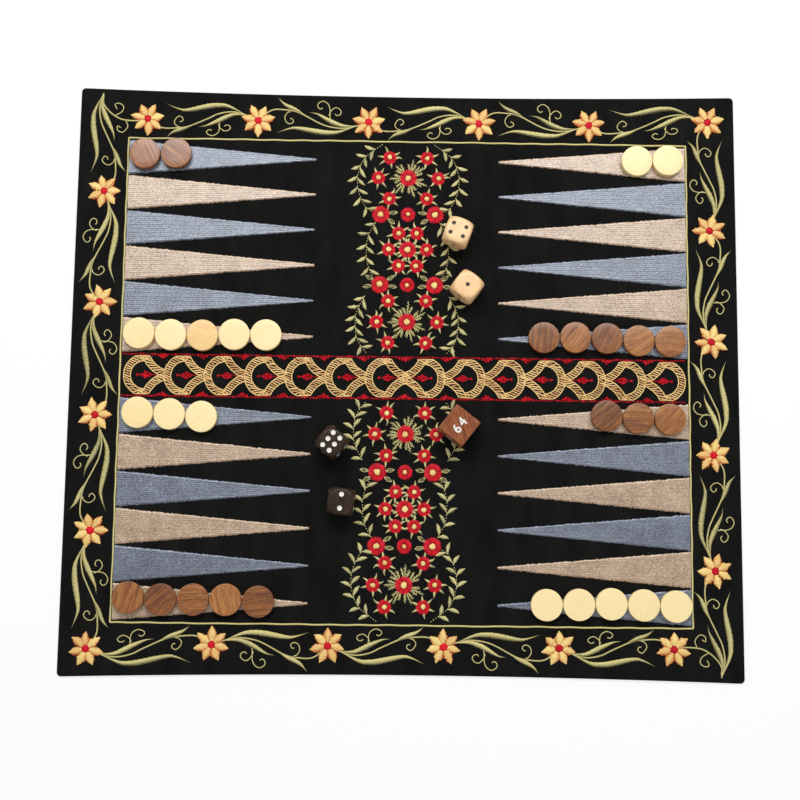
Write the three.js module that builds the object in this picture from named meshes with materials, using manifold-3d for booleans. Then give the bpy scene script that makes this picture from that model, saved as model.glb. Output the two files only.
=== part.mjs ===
// A soft backgammon mat laid out for play, in millimetres, +Z up.
// Black cloth is lined and turned, the field is embroidered on it, and thirty wooden
// men, four dice and a doubling cube lie loose on the stitching.
// Origin: the middle of the mat's underside. +X runs along the long side, to the right
// of a player who sits at -Y.

import * as THREE from 'three';
import { mergeVertices } from 'three/addons/utils/BufferGeometryUtils.js';
import Module from 'manifold-3d';

const wasm = await Module();
wasm.setup();

// Mat: cloth layers and outline.
const FIELD_WIDTH = 344.5; // between the middles of the frame line's short runs
const FIELD_DEPTH = 295; // between the middles of the frame line's long runs
const BORDER_WIDTH = 30.4; // frame line's middle to the mat's corner lines
const LONG_EDGE_PULL = 2.8; // how far the long edges draw in between the corners
const CORNER_RADIUS = 2.6;
const FACE_THICKNESS = 0.6;
const BACKING_THICKNESS = 0.6;
const SEAM_ALLOWANCE = 10; // cloth turned in round the edge
const LAYER_CLEARANCE = 0.3; // interlining to the turned-in cloth

// Embroidery.
const STITCH_HEIGHT = 0.6; // how far the stitching stands above the cloth
const STITCH_GAP = 0.3; // bare cloth between neighbouring stitched shapes
const FRAME_LINE_WIDTH = 1.6;
const POINT_LENGTH = 115;
const POINT_TIP_WIDTH = 1.4;
const POINT_SPACING = 0.7; // between the bases of neighbouring points
const POINTS_PER_QUADRANT = 6;
const RUN_WIDTH = 1; // travel run that joins points of one colour
const RUN_HEIGHT = 0.15;
const RUN_CLEARANCE = 0.15; // over a run that passes under a point
const BAND_DEPTH = 25.4; // between the middles of the band's edge lines
const EDGING_WIDTH = 0.9;
const SCALE_PITCH_RATIO = 2.04; // how closely the scales follow each other, per radius
const SCALE_RIBBON_WIDTH = 4.4;
const TAIL_RADIUS = 40; // the tails are almost straight
const TAIL_START = 1.3; // a scale's crest to the middle line of its tails
const TAIL_STOP = 0.5; // the middle line of the tails to the next scale's nose
const BAND_END_GAP = 1.2; // frame line to the outermost scale

// Border vine: flowers on a line round the field, joined by stems with leaves.
const LONG_SIDE_FLOWER_LINE = 12.3; // frame line to the flowers on the long sides
const SHORT_SIDE_FLOWER_LINE = 13.9;
const CORNER_FLOWER_LIFT = 3.2; // the corner flowers sit further out than their row
const CORNER_UNIT_EXTRA = 5.6; // the first stem on a long side is longer
const LAST_FLOWER_INSET = 11.3; // the long side's last flower, in from the frame's corner
const FLOWER_CLEARANCE = 0.9; // petal tips to the frame line
const FLOWERS_PER_SHORT_SIDE = 4;
const FLOWERS_PER_LONG_SIDE = 5;
const PETALS = 7;
const HEM_MARGIN = 3.4; // leaf tips to the mat's edge
const STEM_WIDTH = 1.1;
const BIG_LEAF_WIDTH = 3.4;
const SECOND_LEAF_WIDTH = 3.1;
const SMALL_LEAF_WIDTH = 2.6;

// Loose wooden pieces.
const MAN_DIAMETER = 18.8;
const MAN_THICKNESS = 4;
const MAN_SPACING = 0.35; // between neighbours in a row
const ROW_WANDER = 0.5; // how unevenly a row is laid by hand
const MAN_SIDES = 24;
const DIE_SIZE = 16;
const DIE_ROUNDING_RADIUS = 11; // the ball that rounds a die's corners
const OPPOSITE_FACES_SUM = 7; // pips on a die's opposite faces together
const PIP_DIAMETER = 2.6;
const PIP_STEP = 4.1; // from a face's middle to its outer rows of pips
const PIP_DEPTH = 0.5;
const CUBE_SIZE = 18;
const CUBE_EDGE = 0.5; // chamfer along the doubling cube's edges

// How finely round shapes are divided.
const CURVE_SEGMENTS = 6;
const SCALE_BACK_SEGMENTS = 5;
const SCALE_TAIL_SEGMENTS = 3;
const SCALE_ROUND_SEGMENTS = 8;
const STEM_STATIONS = 7;
const LEAF_STATIONS = 4;
const PIP_SIDES = 6;
const BALL_SEGMENTS = [16, 10];

// Where the loose pieces of the middle lie: place on the mat and turn, in degrees.
const LIGHT_DIE_FOUR = { x: 30.8, y: 88.2, turn: -20 };
const LIGHT_DIE_ONE = { x: 36.6, y: 54.8, turn: -37 };
const DARK_DIE_SIX = { x: -43.2, y: -40.3, turn: -40 };
const DARK_DIE_TWO = { x: -37.1, y: -75.3, turn: -7 };
const DOUBLING_CUBE = { x: 32.1, y: -29.9, turn: -37.6 };

// Values worked out from the ones above.
const INTERLINING_THICKNESS = FACE_THICKNESS + BACKING_THICKNESS; // the turned-in cloth fills as much
const SEAM_HEIGHT = 2 * BACKING_THICKNESS;
const CLOTH_TOP = BACKING_THICKNESS + INTERLINING_THICKNESS + FACE_THICKNESS;
const PLAY_HEIGHT = CLOTH_TOP + STITCH_HEIGHT;
const MAT_HALF_WIDTH = FIELD_WIDTH / 2 + BORDER_WIDTH;
const MAT_HALF_DEPTH = FIELD_DEPTH / 2 + BORDER_WIDTH + LONG_EDGE_PULL / 2;
const INNER_HALF_WIDTH = FIELD_WIDTH / 2 - FRAME_LINE_WIDTH / 2;
const INNER_HALF_DEPTH = FIELD_DEPTH / 2 - FRAME_LINE_WIDTH / 2;
const BASE_X = INNER_HALF_WIDTH - STITCH_GAP;
const SECOND_BASE_X = BASE_X - RUN_WIDTH - STITCH_GAP;
const FIRST_POINT_Y = BAND_DEPTH / 2 + EDGING_WIDTH / 2 + STITCH_GAP;
const POINT_PITCH = (INNER_HALF_DEPTH - STITCH_GAP - FIRST_POINT_Y) / POINTS_PER_QUADRANT;
const SCALE_OUTER_RADIUS = BAND_DEPTH / 2 - EDGING_WIDTH / 2 - STITCH_GAP;
const SCALE_INNER_RADIUS = SCALE_OUTER_RADIUS - SCALE_RIBBON_WIDTH;
const HALF_BAND = INNER_HALF_WIDTH - BAND_END_GAP;
const SCALES_PER_SIDE = Math.round(HALF_BAND / (SCALE_PITCH_RATIO * SCALE_OUTER_RADIUS));
const SCALE_PITCH = HALF_BAND / SCALES_PER_SIDE;

// Materials.
function finish(color, roughness) {
  return new THREE.MeshStandardMaterial({ color, roughness, metalness: 0 });
}
const blackCloth = finish(0x151515, 0.95);
const feltInside = finish(0x6e6a64, 1);
const oliveThread = finish(0xb9b060, 0.6);
const blueThread = finish(0x939aac, 0.6);
const beigeThread = finish(0xd3b89d, 0.6);
const goldThread = finish(0xd5a557, 0.55);
const redThread = finish(0xb81f2a, 0.6);
const lightWood = finish(0xfae3af, 0.5);
const darkWood = finish(0x966541, 0.5);
const darkDieWood = finish(0x3e322a, 0.45);
const cubeWood = finish(0x97572f, 0.45);

const model = new THREE.Group();

function addMesh(name, geometry, material) {
  const mesh = new THREE.Mesh(geometry, material);
  mesh.name = name;
  model.add(mesh);
  return mesh;
}

// Solids: three.js geometry to manifold and back, for joins and cuts.
function toSolid(geometry) {
  const bare = geometry.clone();
  bare.deleteAttribute('normal');
  bare.deleteAttribute('uv');
  const merged = mergeVertices(bare, 1e-4);
  const vertProperties = new Float32Array(merged.attributes.position.array);
  const triVerts = new Uint32Array(merged.index.array);
  return new wasm.Manifold(new wasm.Mesh({ numProp: 3, vertProperties, triVerts }));
}

function toGeometry(solid) {
  const mesh = solid.getMesh();
  const geometry = new THREE.BufferGeometry();
  geometry.setAttribute('position', new THREE.BufferAttribute(mesh.vertProperties, 3));
  geometry.setIndex(new THREE.BufferAttribute(mesh.triVerts, 1));
  geometry.computeVertexNormals();
  return geometry;
}

function joined(geometries) {
  const solids = geometries.map(toSolid);
  return solids.reduce((whole, next) => whole.add(next));
}

// A flat outline raised from one height to another.
function slab(shape, low, high, curveSegments = CURVE_SEGMENTS) {
  const settings = { depth: high - low, bevelEnabled: false, curveSegments };
  return new THREE.ExtrudeGeometry(shape, settings).translate(0, 0, low);
}

function stitched(shape) {
  return slab(shape, CLOTH_TOP, PLAY_HEIGHT);
}

function polygon(corners) {
  return new THREE.Shape(corners.map(([x, y]) => new THREE.Vector2(x, y)));
}

function rectangle(lowX, lowY, highX, highY) {
  return polygon([[lowX, lowY], [highX, lowY], [highX, highY], [lowX, highY]]);
}

// Cloth outline: rounded corners, and long edges that draw in between them.
function matOutline() {
  const w = MAT_HALF_WIDTH;
  const d = MAT_HALF_DEPTH;
  const r = CORNER_RADIUS;
  const waist = d - 2 * LONG_EDGE_PULL;
  const shape = new THREE.Shape();
  shape.moveTo(-w + r, -d);
  shape.quadraticCurveTo(0, -waist, w - r, -d);
  shape.absarc(w - r, -d + r, r, -Math.PI / 2, 0);
  shape.lineTo(w, d - r);
  shape.absarc(w - r, d - r, r, 0, Math.PI / 2);
  shape.quadraticCurveTo(0, waist, -w + r, d);
  shape.absarc(-w + r, d - r, r, Math.PI / 2, Math.PI);
  shape.lineTo(-w, -d + r);
  shape.absarc(-w + r, -d + r, r, Math.PI, 1.5 * Math.PI);
  return shape;
}

// The two cloths are trays that meet at the seam; the interlining lies between them.
function addClothLayers() {
  const pocketX = MAT_HALF_WIDTH - SEAM_ALLOWANCE;
  const pocketY = MAT_HALF_DEPTH - LONG_EDGE_PULL - SEAM_ALLOWANCE;
  const pocketShape = rectangle(-pocketX, -pocketY, pocketX, pocketY);
  const lowInside = BACKING_THICKNESS;
  const highInside = BACKING_THICKNESS + INTERLINING_THICKNESS;
  const pocket = toSolid(slab(pocketShape, lowInside, highInside));
  const backing = toSolid(slab(matOutline(), 0, SEAM_HEIGHT)).subtract(pocket);
  const face = toSolid(slab(matOutline(), SEAM_HEIGHT, CLOTH_TOP)).subtract(pocket);
  const x = pocketX - LAYER_CLEARANCE;
  const y = pocketY - LAYER_CLEARANCE;
  addMesh('backing_cloth', toGeometry(backing), blackCloth);
  addMesh('interlining', slab(rectangle(-x, -y, x, y), lowInside, highInside), feltInside);
  addMesh('face_cloth', toGeometry(face), blackCloth);
}

function addFrameLine() {
  const outerX = FIELD_WIDTH / 2 + FRAME_LINE_WIDTH / 2;
  const outerY = FIELD_DEPTH / 2 + FRAME_LINE_WIDTH / 2;
  const ring = rectangle(-outerX, -outerY, outerX, outerY);
  ring.holes.push(rectangle(-INNER_HALF_WIDTH, -INNER_HALF_DEPTH, INNER_HALF_WIDTH, INNER_HALF_DEPTH));
  addMesh('frame_line', stitched(ring), oliveThread);
}

// Points, counted from the band outwards. Their middle lines:
function pointY(index) {
  return FIRST_POINT_Y + POINT_PITCH * (index + 0.5);
}

// Every other point of a quadrant, joined by a travel run along their bases. Blue is
// stitched over the beige run, so its points leave a groove for that run.
function addPointGroup(name, sideX, sideY, firstIndex, isBlue) {
  const base = isBlue ? BASE_X : SECOND_BASE_X;
  const halfBase = (POINT_PITCH - POINT_SPACING) / 2;
  const halfTip = POINT_TIP_WIDTH / 2;
  const tip = BASE_X - POINT_LENGTH;
  const pieces = [];
  for (let index = firstIndex; index < POINTS_PER_QUADRANT; index += 2) {
    const y = pointY(index);
    const corners = [[base, y - halfBase], [base, y + halfBase], [tip, y + halfTip], [tip, y - halfTip]];
    pieces.push(stitched(polygon(corners.map(([px, py]) => [sideX * px, sideY * py]))));
  }
  const lastIndex = firstIndex + 2 * (pieces.length - 1);
  const runEnds = [pointY(firstIndex), pointY(lastIndex)];
  const run = [[base - RUN_WIDTH, runEnds[0]], [base, runEnds[1]]];
  pieces.push(slab(boxBetween(run, sideX, sideY), CLOTH_TOP, CLOTH_TOP + RUN_HEIGHT));
  let solid = joined(pieces);
  if (isBlue) {
    const near = SECOND_BASE_X + STITCH_GAP;
    const far = SECOND_BASE_X - RUN_WIDTH - STITCH_GAP;
    const groove = boxBetween([[far, 0], [near, INNER_HALF_DEPTH]], sideX, sideY);
    solid = solid.subtract(toSolid(slab(groove, 0, CLOTH_TOP + RUN_HEIGHT + RUN_CLEARANCE)));
  }
  addMesh(name, toGeometry(solid), isBlue ? blueThread : beigeThread);
}

// A rectangle given by two corners of the upper right quadrant, moved to another one.
function boxBetween([[x0, y0], [x1, y1]], sideX, sideY) {
  const xs = [sideX * x0, sideX * x1];
  const ys = [sideY * y0, sideY * y1];
  return rectangle(Math.min(...xs), Math.min(...ys), Math.max(...xs), Math.max(...ys));
}

function addPoints() {
  const quadrants = [
    { name: 'upper_left', sideX: -1, sideY: 1, firstBlue: 1 },
    { name: 'lower_left', sideX: -1, sideY: -1, firstBlue: 0 },
    { name: 'upper_right', sideX: 1, sideY: 1, firstBlue: 0 },
    { name: 'lower_right', sideX: 1, sideY: -1, firstBlue: 1 },
  ];
  for (const { name, sideX, sideY, firstBlue } of quadrants) {
    addPointGroup(`${name}_blue_points`, sideX, sideY, firstBlue, true);
    addPointGroup(`${name}_beige_points`, sideX, sideY, 1 - firstBlue, false);
  }
}

// Points along part of a circle, both ends included.
function arcPoints(x, y, radius, startAngle, endAngle, segments) {
  const points = [];
  for (let step = 0; step <= segments; step += 1) {
    const angle = startAngle + ((endAngle - startAngle) * step) / segments;
    points.push([x + radius * Math.cos(angle), y + radius * Math.sin(angle)]);
  }
  return points;
}

// The middles of the left half's scales, from the frame line inwards.
function scaleMiddles() {
  const first = -INNER_HALF_WIDTH + BAND_END_GAP + SCALE_OUTER_RADIUS;
  return Array.from({ length: SCALES_PER_SIDE }, (_, index) => first + index * SCALE_PITCH);
}

// The next scale's nose, seen from a scale of the left half.
function noseAfter(middle) {
  return middle + SCALE_PITCH - SCALE_OUTER_RADIUS;
}

// The middle of the circle that a scale's upper tail follows from the crest to the next nose.
function tailMiddle(middle) {
  const [startX, stopX] = [middle + TAIL_START, noseAfter(middle) - TAIL_STOP];
  const chord = Math.hypot(stopX - startX, SCALE_OUTER_RADIUS);
  const away = Math.sqrt(TAIL_RADIUS ** 2 - (chord / 2) ** 2) / chord;
  const x = (startX + stopX) / 2 + SCALE_OUTER_RADIUS * away;
  const y = SCALE_OUTER_RADIUS / 2 + (stopX - startX) * away;
  return [x, y];
}

// Where a tail's edge cuts one of a scale's circles, as an angle round the scale's middle.
function cutAngle([x, y], tailRadius, middle, scaleRadius) {
  const apart = Math.hypot(x - middle, y);
  const squares = apart ** 2 + scaleRadius ** 2 - tailRadius ** 2;
  return Math.atan2(y, x - middle) + Math.acos(squares / (2 * apart * scaleRadius));
}

// Upper left quarter of the band's outline: each scale's back rises to its crest, and the
// tail's edge sinks from there to the next scale's back or to the band's middle.
function bandQuarter() {
  const radius = TAIL_RADIUS - SCALE_RIBBON_WIDTH / 2;
  const rim = [];
  let backStart = Math.PI;
  scaleMiddles().forEach((middle, index) => {
    const back = arcPoints(middle, 0, SCALE_OUTER_RADIUS, backStart, Math.PI / 2, SCALE_BACK_SEGMENTS);
    const [x, y] = tailMiddle(middle);
    backStart = cutAngle([x, y], radius, middle + SCALE_PITCH, SCALE_OUTER_RADIUS);
    const backX = middle + SCALE_PITCH + SCALE_OUTER_RADIUS * Math.cos(backStart);
    const crest = -Math.PI - Math.asin((SCALE_OUTER_RADIUS - y) / radius);
    const foot = -Math.acos((Math.min(backX, 0) - x) / radius);
    const sink = arcPoints(x, y, radius, crest, foot, SCALE_TAIL_SEGMENTS);
    rim.push(...(index > 0 ? back.slice(1) : back), ...sink);
  });
  return rim;
}

// The opening in a scale: a round inside that narrows between the two tails to a point.
function scaleOpening(middle) {
  const radius = TAIL_RADIUS + SCALE_RIBBON_WIDTH / 2;
  const [x, y] = tailMiddle(middle);
  const meeting = cutAngle([x, y], radius, middle, SCALE_INNER_RADIUS);
  const meetX = middle + SCALE_INNER_RADIUS * Math.cos(meeting);
  const turn = [meeting, 2 * Math.PI - meeting, SCALE_ROUND_SEGMENTS];
  const round = arcPoints(middle, 0, SCALE_INNER_RADIUS, ...turn);
  const sweep = [Math.acos((meetX - x) / radius), Math.PI - Math.asin(y / radius), SCALE_TAIL_SEGMENTS];
  const tail = arcPoints(x, -y, radius, ...sweep);
  const otherTail = tail.map(([tailX, tailY]) => [tailX, -tailY]).reverse();
  return [...round, ...tail.slice(1), ...otherTail.slice(1, -1)];
}

function addScaleBand() {
  const quarter = bandQuarter();
  const upper = [...quarter, ...quarter.slice(0, -1).map(([x, y]) => [-x, y]).reverse()];
  const lower = upper.slice(1, -1).map(([x, y]) => [x, -y]).reverse();
  const band = polygon([...upper, ...lower]);
  for (const middle of scaleMiddles()) {
    const opening = scaleOpening(middle);
    const mirrored = opening.map(([x, y]) => [-x, y]).reverse();
    band.holes.push(polygon(opening), polygon(mirrored));
  }
  addMesh('scale_band', stitched(band), goldThread);
  for (const [name, sideY] of [['upper_band_edging', 1], ['lower_band_edging', -1]]) {
    const low = [-BASE_X, BAND_DEPTH / 2 - EDGING_WIDTH / 2];
    const high = [BASE_X, BAND_DEPTH / 2 + EDGING_WIDTH / 2];
    addMesh(name, stitched(boxBetween([low, high], 1, sideY)), redThread);
  }
}

// Border vine. A stem unit runs from one flower (0, 0) to the next (1, 0). Its second
// number is a share of the room beside the flower line, on the big leaf's side above 0.
const STEM = [
  [0.1, 0.2], [0.23, 0.36], [0.36, 0.275], [0.46, 0.055], [0.63, -0.37], [0.74, -0.48], [0.88, -0.46],
];
const BIG_LEAF = [
  [0.1, 0.2], [0.27, 0.585], [0.37, 0.635], [0.46, 0.585], [0.64, 0.415], [0.72, 0.45], [0.83, 0.67],
];
const SECOND_LEAF = [[0.1, 0.2], [0.22, 0.24], [0.31, 0.085], [0.37, -0.07], [0.47, -0.325], [0.54, -0.395]];
const SMALL_LEAF = [[0.58, -0.27], [0.65, -0.465], [0.76, -0.71], [0.824, -1]];
// The stem that ends a row runs from its last flower to the corner bunch.
const LAST_STEM = [[0, 0], [0.22, -0.11], [0.55, -0.06], [0.74, 0.12], [0.9, 0.38], [1, 0.68], [1, 1]];

// A stroke along a smooth line, as wide as width(t) says; t runs from 0 to 1.
function stroke(points, stations, width) {
  const line = new THREE.SplineCurve(points.map(([x, y]) => new THREE.Vector2(x, y)));
  const left = [];
  const right = [];
  for (let step = 0; step <= stations; step += 1) {
    const t = step / stations;
    const at = line.getPoint(t);
    const along = line.getTangent(t);
    const half = width(t) / 2;
    const across = new THREE.Vector2(-along.y, along.x).multiplyScalar(half);
    left.push(at.clone().add(across));
    if (half > 0) right.push(at.clone().sub(across));
  }
  return stitched(new THREE.Shape([...left.reverse(), ...right]));
}

function stemStroke(points) {
  return stroke(points, STEM_STATIONS, () => STEM_WIDTH);
}

// A leaf is widest a little before its middle and pointed at both ends.
function leafStroke(points, widest) {
  const width = (t) => (t === 0 || t === 1 ? 0 : widest * Math.sin(Math.PI * t ** 0.85));
  return stroke(points, LEAF_STATIONS, width);
}

// A flower with one petal towards the field.
function flower(x, y, towardsField) {
  const reach = LONG_SIDE_FLOWER_LINE - FRAME_LINE_WIDTH / 2 - FLOWER_CLEARANCE;
  const petalAngle = (2 * Math.PI) / PETALS;
  const rim = [[-0.5, 0.42], [-0.32, 0.76], [0, 1], [0.32, 0.76]]; // share of a petal, share of the reach
  const corners = [];
  for (let petal = 0; petal < PETALS; petal += 1) {
    for (const [share, far] of rim) {
      const angle = towardsField + (petal + share) * petalAngle;
      corners.push([x + far * reach * Math.cos(angle), y + far * reach * Math.sin(angle)]);
    }
  }
  return stitched(polygon(corners));
}

// Carries a unit's shares onto the mat: start and end are flowers, outward is the way to
// the mat's edge, and side says whether the big leaf lies outwards (1) or inwards (-1).
function unitPoints(shares, row, start, end, side) {
  return shares.map(([along, beside]) => {
    const swing = beside * side;
    const offset = swing * (swing > 0 ? row.roomOut : row.roomIn);
    const x = start[0] + along * (end[0] - start[0]) + offset * row.outward[0];
    const y = start[1] + along * (end[1] - start[1]) + offset * row.outward[1];
    return [x, y];
  });
}

function unitStrokes(row, start, end, side, fromFlower) {
  const place = (shares) => unitPoints(shares, row, start, end, side);
  const stem = [...(fromFlower ? [[0, 0]] : []), ...STEM, [1, 0]];
  return [
    stemStroke(place(stem)),
    leafStroke(place(BIG_LEAF), BIG_LEAF_WIDTH),
    leafStroke(place(SECOND_LEAF), SECOND_LEAF_WIDTH),
    leafStroke(place(SMALL_LEAF), SMALL_LEAF_WIDTH),
  ];
}

// Half of the border: down the left side and along the bottom to the far corner.
function halfVine() {
  const room = (flowerLine) => flowerLine - FRAME_LINE_WIDTH / 2 - STITCH_GAP;
  const shortRow = {
    outward: [-1, 0],
    roomIn: room(SHORT_SIDE_FLOWER_LINE),
    roomOut: BORDER_WIDTH - SHORT_SIDE_FLOWER_LINE - HEM_MARGIN,
  };
  const longRow = {
    outward: [0, -1],
    roomIn: room(LONG_SIDE_FLOWER_LINE),
    roomOut: BORDER_WIDTH - LONG_SIDE_FLOWER_LINE - HEM_MARGIN,
  };
  const rowX = -FIELD_WIDTH / 2 - SHORT_SIDE_FLOWER_LINE;
  const rowY = -FIELD_DEPTH / 2 - LONG_SIDE_FLOWER_LINE;
  const cornerFlower = [rowX, rowY - CORNER_FLOWER_LIFT];
  const bunchY = MAT_HALF_DEPTH - HEM_MARGIN;
  const shortUnits = FLOWERS_PER_SHORT_SIDE + 1;
  const shortPitch = (bunchY - cornerFlower[1]) / (shortUnits - STEM[0][0]);
  const lastX = FIELD_WIDTH / 2 - LAST_FLOWER_INSET;
  const longPitch = (lastX - rowX - CORNER_UNIT_EXTRA) / FLOWERS_PER_LONG_SIDE;
  const strokes = [];
  for (let unit = 0; unit < shortUnits; unit += 1) {
    const start = [rowX, cornerFlower[1] + (shortUnits - unit) * shortPitch];
    const end = [rowX, start[1] - shortPitch];
    const isLast = unit === shortUnits - 1;
    const side = unit % 2 === 0 ? 1 : -1;
    strokes.push(...unitStrokes(shortRow, start, end, side, unit > 0));
    strokes.push(isLast ? flower(...cornerFlower, Math.PI / 2) : flower(...end, 0));
  }
  let start = cornerFlower;
  for (let unit = 0; unit < FLOWERS_PER_LONG_SIDE; unit += 1) {
    const end = [rowX + CORNER_UNIT_EXTRA + (unit + 1) * longPitch, rowY];
    const side = unit % 2 === 0 ? 1 : -1;
    strokes.push(...unitStrokes(longRow, start, end, side, true), flower(...end, Math.PI / 2));
    start = end;
  }
  const bunchX = -rowX + STEM[0][1] * shortRow.roomOut;
  strokes.push(stemStroke(unitPoints(LAST_STEM, longRow, start, [bunchX, rowY], 1)));
  return strokes;
}

// The other half is the same, turned half round, and meets the first at two corners.
function addBorderVine() {
  const half = joined(halfVine());
  const otherHalf = joined(halfVine().map((piece) => piece.rotateZ(Math.PI)));
  addMesh('border_vine', toGeometry(half.add(otherHalf)), goldThread);
}

// Men: rows start by the frame line and run along a point towards the middle. setback is from
// the frame line to the first man, drift is how much nearer the middle of the mat the row lies
// than its point, and lean is how far each man is laid further out than the one before.
const ROWS = [
  { color: 'dark', count: 2, sideX: -1, sideY: 1, point: 5, setback: 0.7, drift: -1.3, lean: 0 },
  { color: 'light', count: 5, sideX: -1, sideY: 1, point: 0, setback: 1.1, drift: 0.1, lean: 0 },
  { color: 'light', count: 3, sideX: -1, sideY: -1, point: 0, setback: 1.9, drift: 0.9, lean: 0.6 },
  { color: 'dark', count: 5, sideX: -1, sideY: -1, point: 5, setback: 0.3, drift: 2.4, lean: 0.35 },
  { color: 'light', count: 2, sideX: 1, sideY: 1, point: 5, setback: 1.7, drift: -1.1, lean: 0 },
  { color: 'dark', count: 5, sideX: 1, sideY: 1, point: 0, setback: 1.7, drift: 0.3, lean: 0.4 },
  { color: 'dark', count: 3, sideX: 1, sideY: -1, point: 0, setback: 2.4, drift: 0.9, lean: -1 },
  { color: 'light', count: 5, sideX: 1, sideY: -1, point: 5, setback: 0.4, drift: 1.3, lean: 0 },
];

function manGeometry() {
  const disc = new THREE.Shape().absarc(0, 0, MAN_DIAMETER / 2, 0, 2 * Math.PI);
  return slab(disc, 0, MAN_THICKNESS, MAN_SIDES / 2);
}

function addMen() {
  const made = { light: 0, dark: 0 };
  ROWS.forEach(({ color, count, sideX, sideY, point, setback, drift, lean }, row) => {
    const firstX = INNER_HALF_WIDTH - setback - MAN_DIAMETER / 2;
    const rowY = pointY(point) - drift;
    for (let index = 0; index < count; index += 1) {
      made[color] += 1;
      const number = String(made[color]).padStart(2, '0');
      const material = color === 'light' ? lightWood : darkWood;
      const man = addMesh(`${color}_man_${number}`, manGeometry(), material);
      const x = firstX - index * (MAN_DIAMETER + MAN_SPACING);
      const y = rowY + lean * index + ROW_WANDER * Math.sin(2 * row + 1.7 * index);
      man.position.set(sideX * x, sideY * y, PLAY_HEIGHT);
    }
  });
}

// Pips on a face, in steps from its middle.
const PIPS = {
  1: [[0, 0]],
  2: [[0, -1], [0, 1]],
  3: [[-1, -1], [0, 0], [1, 1]],
  4: [[-0.97, -0.73], [-0.97, 0.73], [0.97, -0.73], [0.97, 0.73]],
  5: [[-1, -1], [-1, 1], [0, 0], [1, -1], [1, 1]],
  6: [[-0.62, -1.15], [-0.62, 0], [-0.62, 1.15], [0.62, -1.15], [0.62, 0], [0.62, 1.15]],
};

// One face's pips, drilled on top and then turned to where that face is.
function pipDrills(count, turnX, turnY) {
  return PIPS[count].map(([column, row]) => {
    const radius = PIP_DIAMETER / 2;
    const drill = new THREE.CylinderGeometry(radius, radius, 2 * PIP_DEPTH, PIP_SIDES);
    drill.rotateX(Math.PI / 2).translate(column * PIP_STEP, row * PIP_STEP, DIE_SIZE / 2);
    return toSolid(drill.rotateX(turnX).rotateY(turnY));
  });
}

// A die with the named face up, and the others in pairs of opposite faces.
function dieGeometry(top) {
  const opposite = (face) => OPPOSITE_FACES_SUM - face;
  const others = [1, 2, 3].filter((face) => face !== Math.min(top, opposite(top)));
  const quarter = Math.PI / 2;
  const drills = [
    ...pipDrills(top, 0, 0),
    ...pipDrills(opposite(top), Math.PI, 0),
    ...pipDrills(others[0], quarter, 0),
    ...pipDrills(opposite(others[0]), -quarter, 0),
    ...pipDrills(opposite(others[1]), 0, quarter),
    ...pipDrills(others[1], 0, -quarter),
  ];
  const block = toSolid(new THREE.BoxGeometry(DIE_SIZE, DIE_SIZE, DIE_SIZE));
  const ball = toSolid(new THREE.SphereGeometry(DIE_ROUNDING_RADIUS, ...BALL_SEGMENTS));
  const die = drills.reduce((left, drill) => left.subtract(drill), block.intersect(ball));
  return toGeometry(die);
}

function layDown(mesh, { x, y, turn }, size) {
  mesh.position.set(x, y, PLAY_HEIGHT + size / 2);
  mesh.rotation.z = THREE.MathUtils.degToRad(turn);
}

function addDice() {
  const dice = {
    light_die_1: [LIGHT_DIE_FOUR, 4, lightWood],
    light_die_2: [LIGHT_DIE_ONE, 1, lightWood],
    dark_die_1: [DARK_DIE_SIX, 6, darkDieWood],
    dark_die_2: [DARK_DIE_TWO, 2, darkDieWood],
  };
  for (const [name, [place, top, material]] of Object.entries(dice)) {
    layDown(addMesh(name, dieGeometry(top), material), place, DIE_SIZE);
  }
}

function addDoublingCube() {
  const inner = CUBE_SIZE / 2 - CUBE_EDGE;
  const chamfer = { bevelSize: CUBE_EDGE, bevelThickness: CUBE_EDGE, bevelSegments: 1 };
  const settings = { depth: 2 * inner, bevelEnabled: true, ...chamfer };
  const block = new THREE.ExtrudeGeometry(rectangle(-inner, -inner, inner, inner), settings);
  layDown(addMesh('doubling_cube', block.translate(0, 0, -inner), cubeWood), DOUBLING_CUBE, CUBE_SIZE);
}

addClothLayers();
addFrameLine();
addPoints();
addScaleBand();
addBorderVine();
addMen();
addDice();
addDoublingCube();

export default model;
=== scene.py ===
# %% [markdown]
# # An embroidered backgammon mat, dressed in Blender
# The mat is a lined black cloth with the whole playing field stitched on it: 24 points, a band
# of gold scales, a border of flowers and two columns of red rosettes. Thirty wooden men, four
# dice and a doubling cube lie on it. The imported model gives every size, so each piece here is
# a surface worked out with numpy in that same frame. Lengths are written in millimetres and
# become metres when a mesh is made.

import bmesh
import bpy
import numpy as np
from mathutils import Matrix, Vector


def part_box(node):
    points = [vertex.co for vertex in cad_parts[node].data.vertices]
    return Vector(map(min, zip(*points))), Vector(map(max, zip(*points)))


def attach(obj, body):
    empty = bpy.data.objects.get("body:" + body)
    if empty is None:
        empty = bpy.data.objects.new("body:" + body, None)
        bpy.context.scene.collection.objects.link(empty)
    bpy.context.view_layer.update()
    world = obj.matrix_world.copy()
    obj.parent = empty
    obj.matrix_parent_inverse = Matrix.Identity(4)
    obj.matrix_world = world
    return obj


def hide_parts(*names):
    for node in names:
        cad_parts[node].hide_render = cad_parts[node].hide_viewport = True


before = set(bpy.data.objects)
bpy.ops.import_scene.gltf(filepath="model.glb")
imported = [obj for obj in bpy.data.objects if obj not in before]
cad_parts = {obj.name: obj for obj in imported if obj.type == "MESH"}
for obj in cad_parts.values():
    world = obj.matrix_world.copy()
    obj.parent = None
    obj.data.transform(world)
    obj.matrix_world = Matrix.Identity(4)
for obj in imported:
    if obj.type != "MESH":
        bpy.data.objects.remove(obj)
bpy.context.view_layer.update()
MM, TURN = 0.001, 2 * np.pi
chance = np.random.default_rng(24)


def node_box(node):
    """A node's lowest and highest corners, in millimetres."""
    low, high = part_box(node)
    return np.array(low) / MM, np.array(high) / MM


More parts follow.
